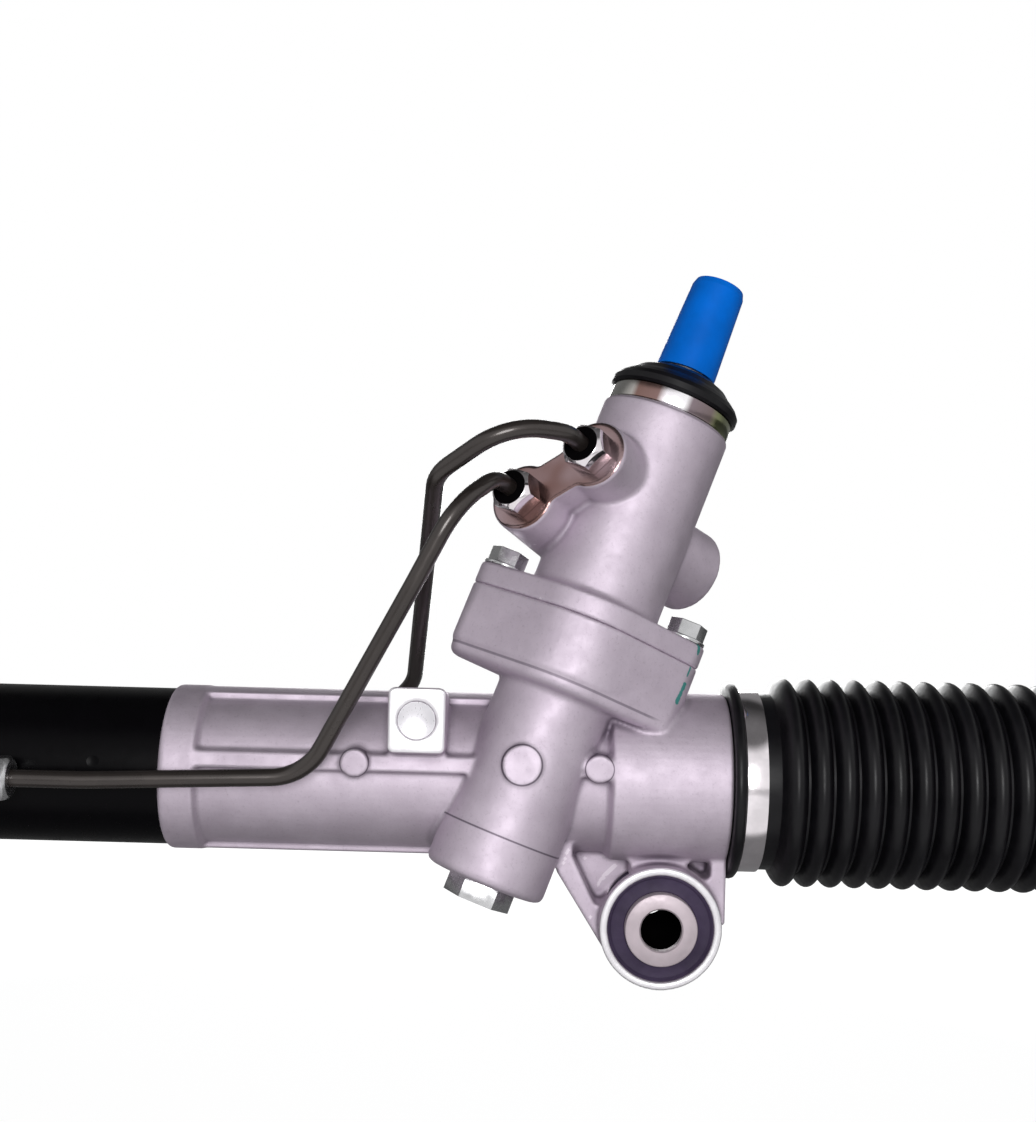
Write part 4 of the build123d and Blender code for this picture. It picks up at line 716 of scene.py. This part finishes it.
def boot_outline(bore):
    """The outer and inner line of a boot, in millimetres from its large end."""
    b = BOOT
    lip = b["bead_length"]
    groove_end = lip + b["groove_length"]
    outer = [(0.0, bore), (0.0, b["bead"] - 1.2), (0.35, b["bead"] - 0.45), (1.0, b["bead"] - 0.05)]
    outer += [(2.0, b["bead"]), (3.0, b["bead"] - 0.3), (lip - 0.3, b["bead"] - 1.2)]
    outer += [(lip, b["groove"] + 0.5), (lip + 0.3, b["groove"]), (groove_end, b["groove"])]
    start = groove_end + b["shoulder"]
    half = b["pitch"] / 2
    valley = b["crest"] - b["depth"]
    outer += [(start - half - 1.6, b["groove"] + 0.05), (start - half - 0.5, valley - 0.1)]
    for fold in range(b["folds"]):
        centre = start + fold * b["pitch"]
        crest = fold_crest(fold)
        low_left, low_right = crest - b["depth"], fold_crest(fold + 1) - b["depth"]
        if fold + 1 == b["folds"]:
            low_right = b["cuff"] + 0.6
        for step in range(FOLD_STEPS):
            share = -1.0 + (2.0 * step + 1.0) / FOLD_STEPS
            low = low_left if share < 0 else low_right
            hump = (1.0 - abs(share) ** 2.1) ** 0.85
            outer.append((centre + share * half, low + (crest - low) * hump))
    last = start + b["folds"] * b["pitch"]
    outer += [(last - half + 0.6, b["cuff"] + 0.2), (last - half + 1.6, b["cuff"]), (last - 0.8, b["cuff"])]
    end = last + b["cuff_length"]
    outer += [(end - 2.0, b["cuff"]), (end - 1.4, b["cuff"] + 0.7), (end - 0.6, b["cuff"] + 0.6)]
    outer += [(end, b["cuff"] - 0.4)]
    inner = [(groove_end, bore)]
    for fold in range(b["folds"]):
        centre = start + fold * b["pitch"]
        inner.append((centre - half, fold_crest(fold) - b["depth"] - b["wall"]))
        inner.append((centre, fold_crest(fold) - b["wall"] * 1.6))
    inner += [(last - half, b["cuff"] - 0.4), (last, b["rod"]), (end, b["rod"])]
    return outer, list(reversed(inner))


def point_at(points, at):
    """The point of a line at a distance from the large end."""
    line = sorted(points)
    return (at, float(np.interp(at, [p[0] for p in line], [p[1] for p in line])))


def boot_piece(name, bore, origin, way, small_end):
    """One stretch of a boot, up to or beyond the split, as a closed shell."""
    outer, inner = boot_outline(bore)
    # The first ten points are the bead and the groove, where the line turns back.
    body = outer[10:]
    out = [p for p in outer if (p[0] >= BOOT_SPLIT if small_end else p[0] <= BOOT_SPLIT)]
    back = [p for p in inner if (p[0] >= BOOT_SPLIT if small_end else p[0] <= BOOT_SPLIT)]
    if small_end:
        profile = [point_at(body, BOOT_SPLIT)] + out + back + [point_at(inner, BOOT_SPLIT)]
    else:
        profile = out + [point_at(body, BOOT_SPLIT), point_at(inner, BOOT_SPLIT)] + back
    piece = turned(name, profile, origin, (way, 0, 0), (0, 0, 1), 112)
    smooth(piece.data, 50)
    return dress(piece, "black_rubber")


def boot(side, bore, start_x, way, node):
    """Both stretches of a boot: the folds, and the small end beyond the split."""
    origin = spot(start_x, 0, 0)
    bellows = boot_piece(side + "_boot_bellows", bore, origin, way, False)
    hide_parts(node)
    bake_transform(bellows)
    sleeve = boot_piece(side + "_boot_small_end", bore, origin, way, True)
    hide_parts(node)
    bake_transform(sleeve)


boot("right", 27.3, 71.0, 1, "right_boot")
boot("left", 28.0, -366.3, -1, "left_boot")

# ---------------------------------------------------------------- finished steel pieces

# Near-black painted shade for the deep part of the bushes' bores and the pipe nuts' faces round the pipes.
PAINTED_BORE_SHADE = coated("painted_bore_shade", (0.004, 0.0035, 0.004), 0.8, 0.1, level=0.0)

for node, width, body in (
    ("flange_bolts", 0.35 * MM, "housing"),
    ("bottom_plug", 0.5 * MM, "housing"),
    ("valve_pipe_nuts", 0.3 * MM, "housing"),
    ("cylinder_pipe_nuts", 0.3 * MM, "housing"),
    ("top_ring", 0.5 * MM, "housing"),
    ("boot_band_clamps", 0.25 * MM, "housing"),
    ("guide_lock_nut", 0.5 * MM, "housing"),
    ("guide_cap", 0.4 * MM, "housing"),
    ("right_jam_nut", 0.5 * MM, "right_tie_rod"),
    ("left_jam_nut", 0.5 * MM, "left_tie_rod"),
):
    piece = refine(node, width, body)
    if node == "top_ring":
        piece.data.materials[0] = ring_with_painted_reflections()
    if node == "valve_pipe_nuts":
        piece.data.materials.append(PAINTED_BORE_SHADE)
        # Painted shade: the nuts' faces toward the ports are near black, for the shadowed recess round the pipes.
        for face in piece.data.polygons:
            if face.normal.dot(PIPE_PORTS) > 0.9:
                face.material_index = 1

# ---------------------------------------------------------------- mounting bushes


BORE_RADIUS = 7.1
LIT_END = -24.0


def bush(side, x):
    """Sleeve and rubber of a mounting bush, turned about the bolt's line, with near-black painted shade in the
    bore beyond its lit front end.
    """
    origin = spot(x, 0, EYE_Z)
    sleeve = [(-27.0, 7.6), (-27.0, 11.9), (-26.8, 12.3), (-26.4, 12.5)]
    sleeve += [(-along, radius) for along, radius in reversed(sleeve)]
    sleeve += [(26.5, BORE_RADIUS), (LIT_END, BORE_RADIUS), (-26.5, BORE_RADIUS)]
    ring = [(-23.2, 12.5), (-23.6, 12.9), (-23.4, 13.6), (-23.1, 15.4), (-23.3, 17.0)]
    ring += [(-23.9, 17.7), (-23.6, 18.3)]
    ring += [(-along, radius) for along, radius in reversed(ring)]
    for name, profile in (("sleeve", sleeve), ("rubber", ring)):
        node = side + "_bush_" + name
        piece = turned(node + "_turned", profile, origin, (0, 1, 0), (0, 0, 1))
        smooth(piece.data, 30)
        dress(piece, SLOT_OF[node], PAINTED_BORE_SHADE)
        if name == "sleeve":
            # Painted shade: the bore beyond its lit front end is near black.
            for face in piece.data.polygons:
                centre = face.center - origin
                if math.hypot(centre.x, centre.z) < (BORE_RADIUS + 0.3) * MM and centre.y > LIT_END * MM:
                    face.material_index = 1
        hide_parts(node)
        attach(piece, "housing")


bush("main", EYE_X)
bush("left", LEFT_EYE_X)

# ---------------------------------------------------------------- stage

FLOOR_Z = -0.16
bpy.ops.mesh.primitive_circle_add(vertices=96, radius=6.0, fill_type="NGON", location=(0, 0, FLOOR_Z))
floor = bpy.context.object
floor.name = "floor"


def stage_floor():
    """Pale matt floor that shows white to the camera, with the object's faint shadow near it. For mirrored rays
    it glows only in front of the object, a painted light that leaves it darker under and behind the object.
    """
    s = Shader("floor_white")
    s.set(Base_Color=(0.5, 0.5, 0.5), Roughness=0.9, Specular_IOR_Level=0.0)
    x, y, _ = front_axes(s)
    away = s.ring(x, y, -50.0, 0.0)
    near, far = 500.0, 1500.0
    rays = s.node("ShaderNodeLightPath")
    # Painted light in reflections: the floor glows for mirrored rays only in front of the object, and stays
    # darker under and behind it.
    front = s.math("MULTIPLY", s.span(y, -150.0, -110.0, 0.5, 0.0), rays.outputs["Is Glossy Ray"])
    seen = s.math("MULTIPLY", s.span(away, near, far, 0.5, 1.0), rays.outputs["Is Camera Ray"])
    glow = s.node("ShaderNodeEmission")
    s.link(s.span(away, near, far, 1.80, 1.0), glow.inputs["Strength"])
    blend = s.node("ShaderNodeMixShader")
    s.link(s.math("MAXIMUM", seen, front), blend.inputs[0])
    s.link(s.bsdf.outputs[0], blend.inputs[1])
    s.link(glow.outputs[0], blend.inputs[2])
    s.link(blend.outputs[0], s.tree.nodes["Material Output"].inputs["Surface"])
    return s.material


floor.data.materials.append(stage_floor())


def studio_world():
    """Dim even light, with a white backdrop for what is seen directly, mirrored or through glass.

    The mirrored backdrop is darker high up and behind, so that tops and far sides keep their outline on white.
    """
    world = bpy.data.worlds.new("studio")
    bpy.context.scene.world = world
    world.use_nodes = True
    tree = world.node_tree
    make, link = tree.nodes.new, tree.links.new
    rays = make("ShaderNodeLightPath")
    seen = make("ShaderNodeMath")
    seen.operation = "MAXIMUM"
    link(rays.outputs["Is Camera Ray"], seen.inputs[0])
    link(rays.outputs["Is Transmission Ray"], seen.inputs[1])
    height = make("ShaderNodeSeparateXYZ")
    link(make("ShaderNodeTexCoord").outputs["Generated"], height.inputs[0])
    level = make("ShaderNodeMath")
    level.operation = "MULTIPLY"
    for slot, (axis, low, high, dark) in enumerate((("Z", 0.66, 0.80, 0.16), ("Y", -0.1, 0.4, 0.24))):
        shade = make("ShaderNodeMapRange")
        for key, value in (("From Min", low), ("From Max", high), ("To Min", 1.0), ("To Max", dark)):
            shade.inputs[key].default_value = value
        link(height.outputs[axis], shade.inputs["Value"])
        link(shade.outputs["Result"], level.inputs[slot])
    mirrored = make("ShaderNodeBackground")
    link(level.outputs[0], mirrored.inputs["Strength"])
    ambient = tree.nodes["Background"]
    ambient.inputs["Color"].default_value = (0.95, 0.97, 1.0, 1.0)
    ambient.inputs["Strength"].default_value = 0.11
    backdrop = make("ShaderNodeBackground")
    backdrop.inputs["Strength"].default_value = 1.0
    for item in (mirrored, backdrop):
        item.inputs["Color"].default_value = (1.0, 1.0, 1.0, 1.0)
    gloss, both = make("ShaderNodeMixShader"), make("ShaderNodeMixShader")
    link(rays.outputs["Is Glossy Ray"], gloss.inputs[0])
    link(ambient.outputs[0], gloss.inputs[1])
    link(mirrored.outputs[0], gloss.inputs[2])
    link(seen.outputs[0], both.inputs[0])
    link(gloss.outputs[0], both.inputs[1])
    link(backdrop.outputs[0], both.inputs[2])
    link(both.outputs[0], tree.nodes["World Output"].inputs["Surface"])


studio_world()


def area_light(name, place, target, size, power):
    """A round soft lamp that looks at a target."""
    data = bpy.data.lights.new(name, "AREA")
    data.shape = "DISK"
    data.size = size
    data.energy = power
    lamp = bpy.data.objects.new(name, data)
    lamp.location = place
    lamp.rotation_mode = "QUATERNION"
    lamp.rotation_quaternion = (Vector(target) - Vector(place)).to_track_quat("-Z", "Y")
    bpy.context.scene.collection.objects.link(lamp)


area_light("key", (-0.05, -1.35, 0.36), (-0.03, 0.0, 0.07), size=0.55, power=10.0)
area_light("back_fill", (0.0, 1.6, 0.30), (-0.1, 0.0, 0.05), size=0.8, power=12.0)

# ---------------------------------------------------------------- camera

# The camera looks straight along the row's Y axis, turned a little about its own line of sight.
ROLL = math.radians(1.516)
LENS = 46.33
CAMERA_PLACE = spot(-4.7, -520.0, 76.8)
camera_data = bpy.data.cameras.new("camera")
camera_data.sensor_width = 36.0
camera_data.lens = LENS
camera_data.clip_start = 0.02
camera_data.clip_end = 30.0
camera = bpy.data.objects.new("camera", camera_data)
bpy.context.scene.collection.objects.link(camera)
right = Vector((math.cos(ROLL), 0.0, math.sin(ROLL)))
up = Vector((-math.sin(ROLL), 0.0, math.cos(ROLL)))
camera.matrix_world = Matrix((
    (right.x, up.x, 0.0, CAMERA_PLACE.x),
    (right.y, up.y, -1.0, CAMERA_PLACE.y),
    (right.z, up.z, 0.0, CAMERA_PLACE.z),
    (0.0, 0.0, 0.0, 1.0),
))
bpy.context.scene.camera = camera
bpy.context.scene.view_settings.view_transform = "Standard"
